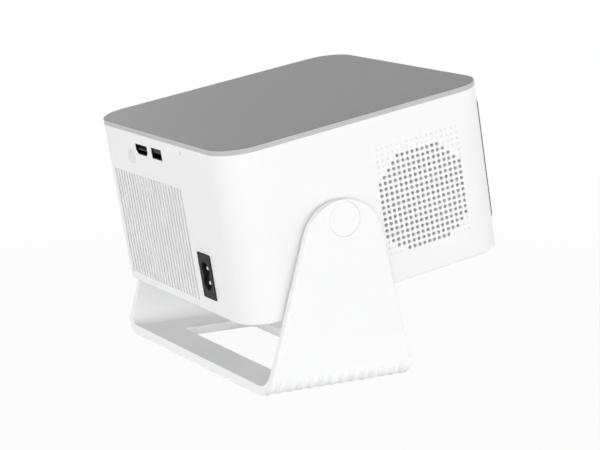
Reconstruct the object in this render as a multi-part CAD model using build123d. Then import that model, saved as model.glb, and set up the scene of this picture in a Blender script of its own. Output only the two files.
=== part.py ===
from build123d import *
import os
from math import acos, cos, hypot, pi, radians, sin, sqrt, tan

# Home projector on a tilting U-shaped stand, in millimetres.
# +Z is up, the lens looks along -Y, and the sockets are on the +Y face.
# The origin lies on the table, midway between the arms and straight below the tilt axis.
# The head is drawn level about its tilt axis (x, y and z from the axis) and is then leaned back by REST_TILT.

# Head casing
HEAD_WIDTH = 166.0
HEAD_LENGTH = 169.4
HEAD_HEIGHT = 98.1
HEAD_CORNER = 20.0
WALL = 2.5
TOP_THICKNESS = 3.1
TOP_EDGE_ROUND = 0.6
LIP_DEPTH = 2.0
LIP_THICKNESS = 1.6
BOTTOM_THICKNESS = 2.5
BOTTOM_EDGE_ROUND = 1.2
COVER_GAP = 0.2
PIVOT_TO_REAR = 62.1
PIVOT_TO_BOTTOM = 46.6
REST_TILT = 9.7
COLUMN_RADIUS = 5.0
PEG_RADIUS = 2.0
PEG_LENGTH = 7.0
FIT_GAP = 0.05

# Stand
PIVOT_HEIGHT = 94.2
SIDE_GAP = 2.2
ARM_THICKNESS = 4.0
ARM_TOP_ABOVE_PIVOT = 11.1
ARM_TOP_RADIUS = 24.7
BASE_LENGTH = 93.6
BASE_SHIFT = 1.3
BASE_THICKNESS = 4.9
BASE_BAR = 22.8
OPENING_WIDTH = 111.4
OPENING_CORNER = 4.0
BEND_RADIUS = 12.0
STAND_EDGE_ROUND = 0.8
RIB_COUNT = 14
RIB_PITCH = 6.6
RIB_RADIUS = 3.0
RIB_BEND_RADIUS = 9.5
RIB_SINK = 0.06
PAD_THICKNESS = 1.2
PAD_PROUD = 0.5
PAD_MARGIN = 3.5
PAD_GAP = 0.1

# Tilt pivot, one on each side
CAP_RADIUS = 9.5
CAP_GAP = 0.12
CAP_SEAT_DEPTH = 2.6
CAP_PLATE = 0.9
CAP_SKIRT = 1.3
CAP_EDGE_ROUND = 0.2
PIN_HEAD_RADIUS = 6.5
PIN_HEAD_THICKNESS = 1.3
PIN_RADIUS = 4.5
PIN_THREAD_RADIUS = 3.0
BUSH_WALL = 1.5
BUSH_FLANGE_RADIUS = 9.0
BUSH_FLANGE_THICKNESS = 1.0
PIVOT_PLAY = 0.1
PLATE_SIZE = 30.0
PLATE_THICKNESS = 2.0
PLATE_HUB_RADIUS = 6.0
PLATE_HUB_LENGTH = 4.0
STAKE_RADIUS = 1.6
STAKE_SPACING = 21.0
STAKE_PROUD = 0.8

# Speaker perforation and speakers
GRILLE_COLUMNS = 17
GRILLE_BLIND_ROWS = 2
GRILLE_UPPER_STEPS = (9, 11, 13, 15)
GRILLE_FULL_ROWS = 10
GRILLE_LOWER_STEPS = (15, 13, 9)
GRILLE_PITCH = 3.3
GRILLE_HOLE_RADIUS = 1.08
DIMPLE_RADIUS = 0.75
DIMPLE_DEPTH = 0.5
GRILLE_FROM_FRONT = 52.3
GRILLE_ABOVE_PIVOT = 0.7
SPEAKER_DROP = 3.6
SPEAKER_FLANGE = 64.0
SPEAKER_FLANGE_CORNER = 6.0
SPEAKER_FLANGE_THICKNESS = 2.0
SPEAKER_RIM_RADIUS = 28.0
SPEAKER_LEDGE = 1.5
SPEAKER_DEPTH = 13.0
SPEAKER_BACK_RADIUS = 18.5
SPEAKER_BACK_THICKNESS = 1.8
SPEAKER_SKIN = 1.4
MAGNET_RADIUS = 16.0
MAGNET_THICKNESS = 9.0
CONE_SKIN = 0.6
CONE_RADIUS = 24.5
CONE_NECK_RADIUS = 9.3
CONE_DEPTH = 7.8
DUST_CAP_RISE = 2.0

# Rear vent, fan and heat sink
VENT_SLOTS = 24
VENT_PITCH = 3.643
VENT_SLOT_WIDTH = 1.8
VENT_HEIGHT = 64.3
VENT_ABOVE_BOTTOM = 5.3
VENT_X = 20.0
FAN_SIZE = 60.0
FAN_DEPTH = 20.0
FAN_BORE_RADIUS = 28.2
FAN_CORNER = 4.0
FAN_GASKET = 1.6
FAN_GASKET_WIDTH = 4.0
FAN_HUB_RADIUS = 13.0
FAN_SKIRT = 1.5
FAN_BLADES = 7
FAN_BLADE_TIP_GAP = 1.0
FAN_BLADE_THICKNESS = 1.3
FAN_BLADE_PITCH = 42.0
FAN_STRUT_WIDTH = 5.0
FAN_STRUT_DEPTH = 3.0
FAN_SHAFT_RADIUS = 1.5
FAN_BEARING_RADIUS = 4.0
FAN_END_GAP = 2.0
FAN_CUP_FLOOR = 2.0
SINK_BASE = 5.0
SINK_FIN_DEPTH = 15.0
SINK_FIN_THICKNESS = 1.4
SINK_FINS = 14

# Sockets, key and lamp on the rear face
DISPLAY_X = 20.4
DISPLAY_BELOW_TOP = 12.0
DISPLAY_CUT_WIDTH = 15.5
DISPLAY_CUT_HEIGHT = 6.1
DISPLAY_CUT_CHAMFER = 2.2
DATA_X = 1.0
DATA_CUT_WIDTH = 13.0
DATA_CUT_HEIGHT = 6.5
SOCKET_GAP = 0.25
SOCKET_SKIN = 0.4
SOCKET_DEPTH = 11.5
SOCKET_SETBACK = 0.2
TONGUE_BACK = 2.5
TONGUE_SETBACK = 0.6
DISPLAY_TONGUE_WIDTH = 10.8
DISPLAY_TONGUE_THICKNESS = 1.0
DATA_TONGUE_WIDTH = 10.6
DATA_TONGUE_THICKNESS = 1.8
DATA_TONGUE_RISE = 1.1
KEY_X = 35.3
KEY_BELOW_TOP = 17.6
KEY_RADIUS = 4.25
KEY_GAP = 0.12
KEY_PROUD = 0.5
KEY_EDGE_ROUND = 0.4
KEY_FLANGE_RADIUS = 5.2
KEY_FLANGE_THICKNESS = 1.2
KEY_STEM_RADIUS = 1.5
KEY_STEM_LENGTH = 1.6
KEY_TRAVEL = 0.6
SWITCH_SIZE = 6.0
SWITCH_DEPTH = 4.0
PLUNGER_RADIUS = 0.9
PLUNGER_LENGTH = 1.0
LAMP_X = -30.0
LAMP_BELOW_TOP = 6.9
LAMP_WIDTH = 1.6
LAMP_HEIGHT = 2.4
LAMP_GAP = 0.08
LAMP_CHIP_HEIGHT = 1.0
LAMP_LEG_DEPTH = 2.0

# Mains inlet
INLET_X = -38.1
INLET_ABOVE_BOTTOM = 22.3
INLET_WIDTH = 14.3
INLET_HEIGHT = 26.2
INLET_FLANGE_CORNER = 0.5
INLET_FLANGE_PROUD = 0.7
INLET_RIM = 0.9
INLET_BODY_DEPTH = 16.0
INLET_RECESS_RADIUS = 4.3
INLET_RECESS_SPREAD = 3.9
INLET_WAIST = 6.0
INLET_RECESS_DEPTH = 12.0
INLET_PIN_SPACING = 8.6
INLET_PIN_RADIUS = 1.2
INLET_PIN_SETBACK = 1.3
INLET_PIN_TAIL = 3.0
LEAD_RADIUS = 0.9
LEAD_BEND = 4.0
LEAD_REACH = 7.0
LEAD_STEP = 6.0

# Light engine, from the front face to the fan
LENS_SPACE = 49.3
ENGINE_WIDTH = 81.0
ENGINE_WALL = 2.5
ENGINE_POST_HEIGHT = 17.6
ENGINE_POST_RADIUS = 4.0
ENGINE_POST_INSET = 8.0
SPIGOT_RADIUS = 1.5
SPIGOT_LENGTH = 2.0
LID_THICKNESS = 2.5
GROOVE_DEPTH = 1.3
GROOVE_GAP = 0.15
ENGINE_WINDOW_RADIUS = 20.0
PANE_SPACING = 8.0
FRESNEL_THICKNESS = 2.0
PANEL_GLASS_THICKNESS = 2.6
HEAT_GLASS_THICKNESS = 1.1
CONDENSER_FLANGE_RADIUS = 22.0
CONDENSER_CAP_RADIUS = 20.0
CONDENSER_RIM = 3.0
CONDENSER_SAG = 7.0
CONDENSER_SEAT = 1.5
CONDENSER_FROM_REAR = 22.0
LAMP_PLATE_SIZE = 46.0
LAMP_PLATE_THICKNESS = 2.0
LAMP_CHIP_SIZE = 20.0
LAMP_CHIP_THICKNESS = 1.2
LAMP_WINDOW = 26.0
SINK_POST_RADIUS = 3.5
SINK_POST_INSET = 6.0

# Projection lens and focus drive
BARREL_RADIUS = 22.0
BARREL_LENGTH = 38.0
BARREL_BEHIND_FRONT = 2.8
MOUNT_WALL = 2.45
MOUNT_LENGTH = 39.0
MOUNT_FLANGE_RADIUS = 29.0
MOUNT_FLANGE_THICKNESS = 4.0
MOUNT_EAR_RADIUS = 5.0
MOUNT_EAR_CIRCLE = 30.5
SHOULDER_RADIUS = 27.0
SHOULDER_THICKNESS = 2.0
RING_FROM_ENGINE = 22.0
RING_WIDTH = 12.0
RING_PLAY = 0.1
CLIP_THICKNESS = 1.2
CLIP_GROOVE_DEPTH = 0.6
CLIP_MOUTH = 70.0
GEAR_MODULE = 1.0
RING_TEETH = 60
RING_SECTOR_TEETH = 19
PINION_TEETH = 12
PRESSURE_ANGLE = 20.0
TOOTH_TIP = 0.9
TOOTH_ROOT = 1.25
FLANK_STEPS = 4
BACKLASH = 0.25
GEAR_CENTRE_GAP = 0.12
FOCUS_TURN = 30.0
FOCUS_TRAVEL = 3.0
GUIDE_PINS = 3
GUIDE_PIN_RADIUS = 1.2
GUIDE_SLOT_GAP = 0.15
CAM_SLOT_GAP = 0.6
MOTOR_ANGLE = 210.0
MOTOR_RADIUS = 6.0
MOTOR_SHAFT_RADIUS = 1.0
MOTOR_FLANGE_RADIUS = 4.0
MOTOR_FLANGE_SPREAD = 8.5
MOTOR_FLANGE_THICKNESS = 2.0
LENS_RIM = 3.0
LENS_SAG = 3.2
FRONT_LENS_RADIUS = 19.0
REAR_LENS_RADIUS = 18.0
LENS_LEDGE = 2.5
STOP_RADIUS = 11.0
STOP_THICKNESS = 1.5
FRONT_LENS_SETBACK = 4.6
REAR_LENS_SETBACK = 4.0
RETAINER_THICKNESS = 1.4

# Front panel, lens bezel and focus camera
PANEL_WIDTH = 138.0
PANEL_HEIGHT = 75.8
PANEL_CORNER = 6.0
PANEL_RISE = 1.05
PANEL_RECESS = 1.3
PANEL_PROUD = 0.9
PANEL_EDGE_ROUND = 0.4
PANEL_GAP = 0.15
BEZEL_GAP = 0.7
BEZEL_WALL = 2.8
BEZEL_FLANGE = 3.2
BEZEL_PROUD = 2.4
BEZEL_SLEEVE_BEHIND = 5.0
BEZEL_EDGE_ROUND = 0.8
BEZEL_FLARE = 1.6
CAMERA_X = -44.0
CAMERA_RISE = 12.0
CAMERA_RADIUS = 3.5
CAMERA_BODY = 14.0
CAMERA_DEPTH = 8.0

# Boards, screws and what stands on the boards
BOARD_THICKNESS = 1.6
BOARD_WIDTH = 100.0
BOARD_LENGTH = 92.0
BOARD_FROM_WALL = 3.6
BOARD_PILLAR = 4.5
PILLAR_RADIUS = 3.5
PILLAR_INSET = 6.5
PROCESSOR_SIZE = 18.0
PROCESSOR_HEIGHT = 1.4
CHIP_SINK_SIZE = 28.0
CHIP_SINK_HEIGHT = 7.0
CHIP_SINK_BASE = 2.0
CHIP_SINK_FINS = 8
CHIP_SINK_FIN_THICKNESS = 1.2
RIBBON_WIDTH = 30.0
RIBBON_THICKNESS = 0.4
SUPPLY_LENGTH = 60.0
SUPPLY_FROM_WALL = 22.0
SUPPLY_MARGIN = 2.5
SUPPLY_POST = 7.0
SUPPLY_POST_INSET = 4.0
TRANSFORMER_WIDTH = 22.0
TRANSFORMER_LENGTH = 20.0
TRANSFORMER_HEIGHT = 19.0
WINDING_RADIUS = 8.5
WINDING_LENGTH = 25.0
CAPACITOR_RADII = (7.0, 5.0)
CAPACITOR_HEIGHTS = (20.0, 15.0)
CAPACITOR_EDGE_ROUND = 0.8
CAPACITOR_SPACING = 15.0
SCREW_RADIUS = 1.25
SCREW_LENGTH = 6.0
SCREW_HEAD_RADIUS = 2.2
SCREW_HEAD_HEIGHT = 1.5
CASE_SCREW_RADIUS = 1.5
CASE_SCREW_LENGTH = 10.0
CASE_SCREW_HEAD_RADIUS = 3.0
CASE_SCREW_HEAD_HEIGHT = 1.3
DRIVE_REACH = 1.5
DRIVE_WIDTH = 0.7
DRIVE_DEPTH = 0.8
INTAKE_SLOTS = 14
INTAKE_PITCH = 5.0
INTAKE_SLOT_WIDTH = 2.2
INTAKE_SLOT_LENGTH = 46.0
CUT_MARGIN = 1.0

# Planes and levels worked out from the sizes above
SIDE_X = HEAD_WIDTH / 2
REAR_Y = PIVOT_TO_REAR
FRONT_Y = REAR_Y - HEAD_LENGTH
MIDDLE_Y = (REAR_Y + FRONT_Y) / 2
BOTTOM_Z = -PIVOT_TO_BOTTOM
TOP_Z = BOTTOM_Z + HEAD_HEIGHT
SHELL_TOP = TOP_Z - TOP_THICKNESS
INNER_X = SIDE_X - WALL
INNER_REAR = REAR_Y - WALL
INNER_FRONT = FRONT_Y + WALL
FLOOR_Z = BOTTOM_Z + BOTTOM_THICKNESS
ARM_X = SIDE_X + SIDE_GAP + ARM_THICKNESS
BASE_Z = PAD_PROUD
BASE_TOP = BASE_Z + BASE_THICKNESS
SPEAKER_Y = FRONT_Y + GRILLE_FROM_FRONT
SPEAKER_Z = GRILLE_ABOVE_PIVOT - SPEAKER_DROP
DISPLAY_Z = TOP_Z - DISPLAY_BELOW_TOP
DISPLAY_HEIGHT = DISPLAY_CUT_HEIGHT - 2 * SOCKET_GAP
BOARD_TOP = DISPLAY_Z - DISPLAY_HEIGHT / 2
BOARD_BOTTOM = BOARD_TOP - BOARD_THICKNESS
DATA_HEIGHT = DATA_CUT_HEIGHT - 2 * SOCKET_GAP
DATA_Z = BOARD_TOP + DATA_HEIGHT / 2
SOCKET_MOUTH = REAR_Y - SOCKET_SETBACK
BOARD_REAR = INNER_REAR - BOARD_FROM_WALL
BOARD_FRONT = BOARD_REAR - BOARD_LENGTH
KEY_Z = TOP_Z - KEY_BELOW_TOP
LAMP_Z = TOP_Z - LAMP_BELOW_TOP
INLET_Z = BOTTOM_Z + INLET_ABOVE_BOTTOM
VENT_Z = BOTTOM_Z + VENT_ABOVE_BOTTOM + VENT_HEIGHT / 2
LID_TOP = BOARD_BOTTOM - BOARD_PILLAR
ENGINE_TOP = LID_TOP - LID_THICKNESS
ENGINE_BOTTOM = FLOOR_Z + ENGINE_POST_HEIGHT
ENGINE_FLOOR = ENGINE_BOTTOM + ENGINE_WALL
OPTIC_Z = (LID_TOP + ENGINE_BOTTOM) / 2
FAN_REAR = INNER_REAR - FAN_GASKET
FAN_FRONT = FAN_REAR - FAN_DEPTH
SINK_FRONT = FAN_FRONT - SINK_FIN_DEPTH - SINK_BASE
ENGINE_REAR = SINK_FRONT - LAMP_PLATE_THICKNESS
ENGINE_FRONT = FRONT_Y + LENS_SPACE
ENGINE_X = ENGINE_WIDTH / 2
ENGINE_INNER_X = ENGINE_X - ENGINE_WALL
PANEL_FACE = FRONT_Y - PANEL_PROUD
PANEL_Z = OPTIC_Z + PANEL_RISE
BARREL_FRONT = FRONT_Y + BARREL_BEHIND_FRONT
BARREL_REAR = BARREL_FRONT + BARREL_LENGTH
MOUNT_BORE = BARREL_RADIUS + FIT_GAP
MOUNT_RADIUS = MOUNT_BORE + MOUNT_WALL
RING_REAR = ENGINE_FRONT - RING_FROM_ENGINE - RING_PLAY
RING_FRONT = RING_REAR - RING_WIDTH
RING_Y = (RING_REAR + RING_FRONT) / 2
RING_BORE = MOUNT_RADIUS + FIT_GAP
RING_PITCH_RADIUS = GEAR_MODULE * RING_TEETH / 2
RING_ROOT = RING_PITCH_RADIUS - TOOTH_ROOT * GEAR_MODULE
PINION_PITCH_RADIUS = GEAR_MODULE * PINION_TEETH / 2
PINION_ROOT = PINION_PITCH_RADIUS - TOOTH_ROOT * GEAR_MODULE
GEAR_DISTANCE = RING_PITCH_RADIUS + PINION_PITCH_RADIUS + GEAR_CENTRE_GAP
MOTOR_X = GEAR_DISTANCE * cos(radians(MOTOR_ANGLE))
MOTOR_Z = OPTIC_Z + GEAR_DISTANCE * sin(radians(MOTOR_ANGLE))
BEZEL_BORE = BARREL_RADIUS + BEZEL_GAP
BEZEL_RADIUS = BEZEL_BORE + BEZEL_WALL
CAMERA_Z = OPTIC_Z + CAMERA_RISE
SUPPLY_LEFT = -(INNER_X - SUPPLY_MARGIN)
SUPPLY_RIGHT = -(ENGINE_X + SUPPLY_MARGIN)
SUPPLY_REAR = INNER_REAR - SUPPLY_FROM_WALL
SUPPLY_FRONT = SUPPLY_REAR - SUPPLY_LENGTH
SUPPLY_BOTTOM = FLOOR_Z + SUPPLY_POST
SUPPLY_TOP = SUPPLY_BOTTOM + BOARD_THICKNESS
SIDES = {"left": -1, "right": 1}


def block(x_low, x_high, y_low, y_high, z_low, z_high):
    """A box between two limits on each axis."""
    middle = Pos((x_low + x_high) / 2, (y_low + y_high) / 2, (z_low + z_high) / 2)
    return middle * Box(x_high - x_low, y_high - y_low, z_high - z_low)


def rod_x(radius, start, end, y=0.0, z=0.0):
    """A round bar along X."""
    return Pos((start + end) / 2, y, z) * Rot(0, 90, 0) * Cylinder(radius, abs(end - start))


def rod_y(radius, start, end, x=0.0, z=0.0):
    """A round bar along Y."""
    return Pos(x, (start + end) / 2, z) * Rot(90, 0, 0) * Cylinder(radius, abs(end - start))


def rod_z(radius, start, end, x=0.0, y=0.0):
    """A round bar along Z."""
    return Pos(x, y, (start + end) / 2) * Cylinder(radius, abs(end - start))


def plate_y(outline, start, end, x=0.0, z=0.0):
    """An outline drawn as X across and Z up, given thickness from start to end along Y."""
    return Pos(x, end, z) * extrude(Plane.XZ * outline, end - start)


def head_outline(inset=0.0):
    """The head's rounded outline seen from above, drawn inset from its outer face."""
    width = HEAD_WIDTH - 2 * inset
    length = HEAD_LENGTH - 2 * inset
    return Pos(0, MIDDLE_Y) * RectangleRounded(width, length, HEAD_CORNER - inset)


def head_slab(inset, bottom, top):
    """The head's outline as a slab between two levels."""
    return Pos(0, 0, bottom) * extrude(head_outline(inset), top - bottom)


def corner_columns():
    """The four places of the screw columns inside the head's rounded corners."""
    reach = (HEAD_CORNER - WALL - COLUMN_RADIUS + CUT_MARGIN / 2) * sqrt(0.5)
    x = SIDE_X - HEAD_CORNER + reach
    front = FRONT_Y + HEAD_CORNER - reach
    rear = REAR_Y - HEAD_CORNER + reach
    return [(-x, front), (x, front), (-x, rear), (x, rear)]


def stake_places():
    """The four stakes around a pivot, as Y and Z from the tilt axis."""
    half = STAKE_SPACING / 2
    return [(-half, -half), (-half, half), (half, -half), (half, half)]


def on_both_sides(make):
    """The left and the right one of a piece that is made for a side."""
    return [make(side) for side in SIDES.values()]


def screw(radius, length, head_radius, head_height):
    """A cross-head screw with its head's seat at the origin and its shank along -Z."""
    cross = Rectangle(2 * DRIVE_REACH, DRIVE_WIDTH) + Rectangle(DRIVE_WIDTH, 2 * DRIVE_REACH)
    drive = Pos(0, 0, head_height - DRIVE_DEPTH) * extrude(cross, DRIVE_DEPTH)
    return rod_z(radius, -length, 0) + rod_z(head_radius, 0, head_height) - drive


# The stand


def arm_touch(foot):
    """Where a leaning edge, drawn from a foot at this distance, touches the arm's round top."""
    middle = PIVOT_HEIGHT + ARM_TOP_ABOVE_PIVOT - ARM_TOP_RADIUS
    reach = hypot(foot, middle - BASE_Z)
    lean = acos(ARM_TOP_RADIUS / reach) + acos((middle - BASE_Z) / reach) - pi / 2
    return ARM_TOP_RADIUS * cos(lean), middle + ARM_TOP_RADIUS * sin(lean)


def arm_outline():
    """The stand seen from the side: a foot line, two leaning edges and a round top."""
    rear = BASE_LENGTH / 2 + BASE_SHIFT
    front = BASE_LENGTH / 2 - BASE_SHIFT
    rear_y, rear_z = arm_touch(rear)
    front_y, front_z = arm_touch(front)
    edges = [
        Line((-front, BASE_Z), (rear, BASE_Z)),
        Line((rear, BASE_Z), (rear_y, rear_z)),
        ThreePointArc((rear_y, rear_z), (0, PIVOT_HEIGHT + ARM_TOP_ABOVE_PIVOT), (-front_y, front_z)),
        Line((-front_y, front_z), (-front, BASE_Z)),
    ]
    return make_face(edges)


def u_section(half_width, low, corner):
    """A tall rectangle with rounded lower corners, whose top lies above the arms."""
    high = PIVOT_HEIGHT + ARM_TOP_RADIUS + ARM_TOP_ABOVE_PIVOT + corner
    return Pos(0, (low + high) / 2) * RectangleRounded(2 * half_width, high - low, corner)


def rib(side, y):
    """One rounded bead around the outside of a bend, which sinks into the arm and the base at its ends."""
    centre_x = side * (ARM_X - RIB_BEND_RADIUS - RIB_SINK)
    centre_z = BASE_Z + RIB_BEND_RADIUS + RIB_SINK
    path_radius = RIB_BEND_RADIUS - RIB_RADIUS
    bead = Plane.YZ * Pos(y, -path_radius) * Circle(RIB_RADIUS)
    quarter = revolve(bead, Axis((0, 0, 0), (0, -side, 0)), 90)
    return Pos(centre_x, 0, centre_z) * quarter


def stand_bracket():
    """The one-piece U: base with its cut-out, ribbed bends and two tapering arms."""
    silhouette = extrude(Plane.YZ * arm_outline(), ARM_X + CUT_MARGIN, both=True)
    outer = extrude(Plane.XZ * u_section(ARM_X, BASE_Z, BEND_RADIUS), BASE_LENGTH, both=True)
    body = outer & silhouette
    rims = [edge for edge in body.edges() if not edge.is_interior and abs(edge.center().Y) > CUT_MARGIN]
    crowns = body.edges().filter_by(lambda edge: edge.center().Z > PIVOT_HEIGHT)
    body = fillet(list(set(rims + list(crowns))), STAND_EDGE_ROUND)
    first = BASE_SHIFT - (RIB_COUNT - 1) / 2 * RIB_PITCH
    for side in SIDES.values():
        body += [rib(side, first + index * RIB_PITCH) & silhouette for index in range(RIB_COUNT)]
    inner_corner = BEND_RADIUS - ARM_THICKNESS
    inner = u_section(ARM_X - ARM_THICKNESS, BASE_TOP, inner_corner)
    body -= extrude(Plane.XZ * inner, BASE_LENGTH, both=True)
    opening_length = BASE_LENGTH - 2 * BASE_BAR
    opening = RectangleRounded(OPENING_WIDTH, opening_length, OPENING_CORNER)
    body -= Pos(0, BASE_SHIFT) * extrude(opening, BASE_TOP + CUT_MARGIN)
    body -= Pos(0, 0, BASE_Z) * extrude(pad_outline(0), PAD_THICKNESS - PAD_PROUD)
    for side in SIDES.values():
        seat = side * (ARM_X - CAP_SEAT_DEPTH)
        body -= rod_x(CAP_RADIUS + CAP_GAP, seat, side * (ARM_X + CUT_MARGIN), 0, PIVOT_HEIGHT)
        inside = side * (ARM_X - ARM_THICKNESS - CUT_MARGIN)
        body -= rod_x(bush_radius() + FIT_GAP, inside, side * ARM_X, 0, PIVOT_HEIGHT)
    return body


def pad_outline(gap):
    """The pad's ring around the base opening, drawn inset by a gap."""
    width = 2 * (ARM_X - BEND_RADIUS - gap)
    length = BASE_LENGTH - 2 * (PAD_MARGIN + gap)
    hole_width = OPENING_WIDTH + 2 * (PAD_MARGIN + gap)
    hole_length = BASE_LENGTH - 2 * BASE_BAR + 2 * (PAD_MARGIN + gap)
    outer = RectangleRounded(width, length, OPENING_CORNER)
    return Pos(0, BASE_SHIFT) * (outer - RectangleRounded(hole_width, hole_length, OPENING_CORNER))


def base_pad():
    """The non-slip pad that the stand rests on, set into the underside of the base."""
    return extrude(pad_outline(PAD_GAP), PAD_THICKNESS)


def bush_radius():
    """Outer radius of the bush in the arm's bore."""
    return PIN_RADIUS + FIT_GAP + BUSH_WALL


def pivot_cap(side):
    """The round cap that closes the pivot's seat, flush with the arm."""
    seat = side * (ARM_X - CAP_SEAT_DEPTH)
    cap = rod_x(CAP_RADIUS, seat, side * ARM_X, 0, PIVOT_HEIGHT)
    outer_rim = cap.edges().group_by(Axis.X)[-1 if side > 0 else 0]
    cap = fillet(outer_rim, CAP_EDGE_ROUND)
    inside = side * (ARM_X - CAP_PLATE)
    return cap - rod_x(CAP_RADIUS - CAP_SKIRT, seat, inside, 0, PIVOT_HEIGHT)


def pivot_bush(side):
    """The flanged bush in the arm's bore, with its flange towards the head."""
    arm_inside = ARM_X - ARM_THICKNESS
    sleeve_end = ARM_X - CAP_SEAT_DEPTH
    sleeve = rod_x(bush_radius(), side * arm_inside, side * sleeve_end, 0, PIVOT_HEIGHT)
    flange_face = side * (arm_inside - BUSH_FLANGE_THICKNESS)
    flange = rod_x(BUSH_FLANGE_RADIUS, flange_face, side * arm_inside, 0, PIVOT_HEIGHT)
    bore = rod_x(PIN_RADIUS + FIT_GAP, flange_face, side * sleeve_end, 0, PIVOT_HEIGHT)
    return sleeve + flange - bore


def friction_washer(side):
    """The washer between the bush's flange and the head, which holds the tilt."""
    outside = side * (ARM_X - ARM_THICKNESS - BUSH_FLANGE_THICKNESS)
    inside = side * (SIDE_X + PIVOT_PLAY)
    ring = rod_x(BUSH_FLANGE_RADIUS, inside, outside, 0, PIVOT_HEIGHT)
    return ring - rod_x(PIN_RADIUS + PIVOT_PLAY, inside, outside, 0, PIVOT_HEIGHT)


# The tilt pivot's half that turns with the head


def pivot_pin(side):
    """A shoulder screw: its head lies under the cap, its shoulder turns in the bush."""
    head_seat = ARM_X - CAP_SEAT_DEPTH + PIVOT_PLAY
    head = rod_x(PIN_HEAD_RADIUS, side * head_seat, side * (head_seat + PIN_HEAD_THICKNESS))
    shoulder = rod_x(PIN_RADIUS, side * INNER_X, side * head_seat)
    thread_end = INNER_X - PLATE_THICKNESS - PLATE_HUB_LENGTH
    return head + shoulder + rod_x(PIN_THREAD_RADIUS, side * thread_end, side * INNER_X)


def pivot_plate(side):
    """The steel plate on the wall's inside, with a hub for the pin's thread and holes for the stakes."""
    near = side * INNER_X
    far = side * (INNER_X - PLATE_THICKNESS)
    half = PLATE_SIZE / 2
    plate = block(min(near, far), max(near, far), -half, half, -half, half)
    hub_end = side * (INNER_X - PLATE_THICKNESS - PLATE_HUB_LENGTH)
    plate += rod_x(PLATE_HUB_RADIUS, hub_end, far)
    plate -= rod_x(PIN_THREAD_RADIUS + FIT_GAP, hub_end, near)
    for y, z in stake_places():
        plate -= rod_x(STAKE_RADIUS + FIT_GAP, far, near, y, z)
    return plate


# The head's casing


def grille_places():
    """Centres of the open holes and of the blind dimples on a side face, as Y and Z."""
    blind = (0,) * GRILLE_BLIND_ROWS
    full = (GRILLE_COLUMNS,) * GRILLE_FULL_ROWS
    open_counts = blind + GRILLE_UPPER_STEPS + full + GRILLE_LOWER_STEPS
    open_holes = []
    dimples = []
    for row, open_count in enumerate(open_counts):
        z = GRILLE_ABOVE_PIVOT + ((len(open_counts) - 1) / 2 - row) * GRILLE_PITCH
        for column in range(GRILLE_COLUMNS):
            steps = column - (GRILLE_COLUMNS - 1) / 2
            places = open_holes if abs(steps) < open_count / 2 else dimples
            places.append((SPEAKER_Y + steps * GRILLE_PITCH, z))
    return open_holes, dimples


def grille_cuts():
    """Cutters for the perforation on both side faces."""
    open_holes, dimples = grille_places()
    cuts = []
    for side in SIDES.values():
        outside = side * (SIDE_X + CUT_MARGIN)
        inside = side * (INNER_X - CUT_MARGIN)
        cuts += [rod_x(GRILLE_HOLE_RADIUS, inside, outside, y, z) for y, z in open_holes]
        floor = side * (SIDE_X - DIMPLE_DEPTH)
        cuts += [rod_x(DIMPLE_RADIUS, floor, outside, y, z) for y, z in dimples]
    return cuts


def vent_cuts():
    """Cutters for the upright slots of the rear vent."""
    first = VENT_X - (VENT_SLOTS - 1) / 2 * VENT_PITCH
    half = VENT_SLOT_WIDTH / 2
    low = VENT_Z - VENT_HEIGHT / 2
    high = VENT_Z + VENT_HEIGHT / 2
    cuts = []
    for index in range(VENT_SLOTS):
        x = first + index * VENT_PITCH
        cuts.append(block(x - half, x + half, INNER_REAR - CUT_MARGIN, REAR_Y + CUT_MARGIN, low, high))
    return cuts


def display_outline(width, height):
    """The display socket's outline: a rectangle with its two lower corners cut off."""
    corner = DISPLAY_CUT_CHAMFER * width / DISPLAY_CUT_WIDTH
    x = width / 2
    z = height / 2
    points = [(-x, z), (x, z), (x, corner - z), (x - corner, -z), (corner - x, -z), (-x, corner - z)]
    return make_face(Polyline(*points, close=True))


def socket_cuts():
    """Cutters for what comes through the rear wall: sockets, key, lamp and inlet."""
    inside = INNER_REAR - CUT_MARGIN
    outside = REAR_Y + CUT_MARGIN
    display = display_outline(DISPLAY_CUT_WIDTH, DISPLAY_CUT_HEIGHT)
    data = Rectangle(DATA_CUT_WIDTH, DATA_CUT_HEIGHT)
    lamp = Rectangle(LAMP_WIDTH + 2 * LAMP_GAP, LAMP_HEIGHT + 2 * LAMP_GAP)
    inlet = Rectangle(INLET_WIDTH - INLET_RIM, INLET_HEIGHT - INLET_RIM)
    return [
        plate_y(display, inside, outside, DISPLAY_X, DISPLAY_Z),
        plate_y(data, inside, outside, DATA_X, DATA_Z),
        plate_y(lamp, inside, outside, LAMP_X, LAMP_Z),
        plate_y(inlet, inside, outside, INLET_X, INLET_Z),
        rod_y(KEY_RADIUS + KEY_GAP, inside, outside, KEY_X, KEY_Z),
    ]


def front_cuts():
    """Cutters in the front wall: the panel's recess and the holes for bezel and camera."""
    recess = RectangleRounded(
        PANEL_WIDTH + 2 * PANEL_GAP, PANEL_HEIGHT + 2 * PANEL_GAP, PANEL_CORNER + PANEL_GAP
    )
    outside = FRONT_Y - CUT_MARGIN
    inside = INNER_FRONT + CUT_MARGIN
    return [
        plate_y(recess, outside, FRONT_Y + PANEL_RECESS, 0, PANEL_Z),
        rod_y(BEZEL_RADIUS + PANEL_GAP, outside, inside, 0, OPTIC_Z),
        rod_y(CAMERA_RADIUS + PANEL_GAP, outside, inside, CAMERA_X, CAMERA_Z),
    ]


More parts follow.
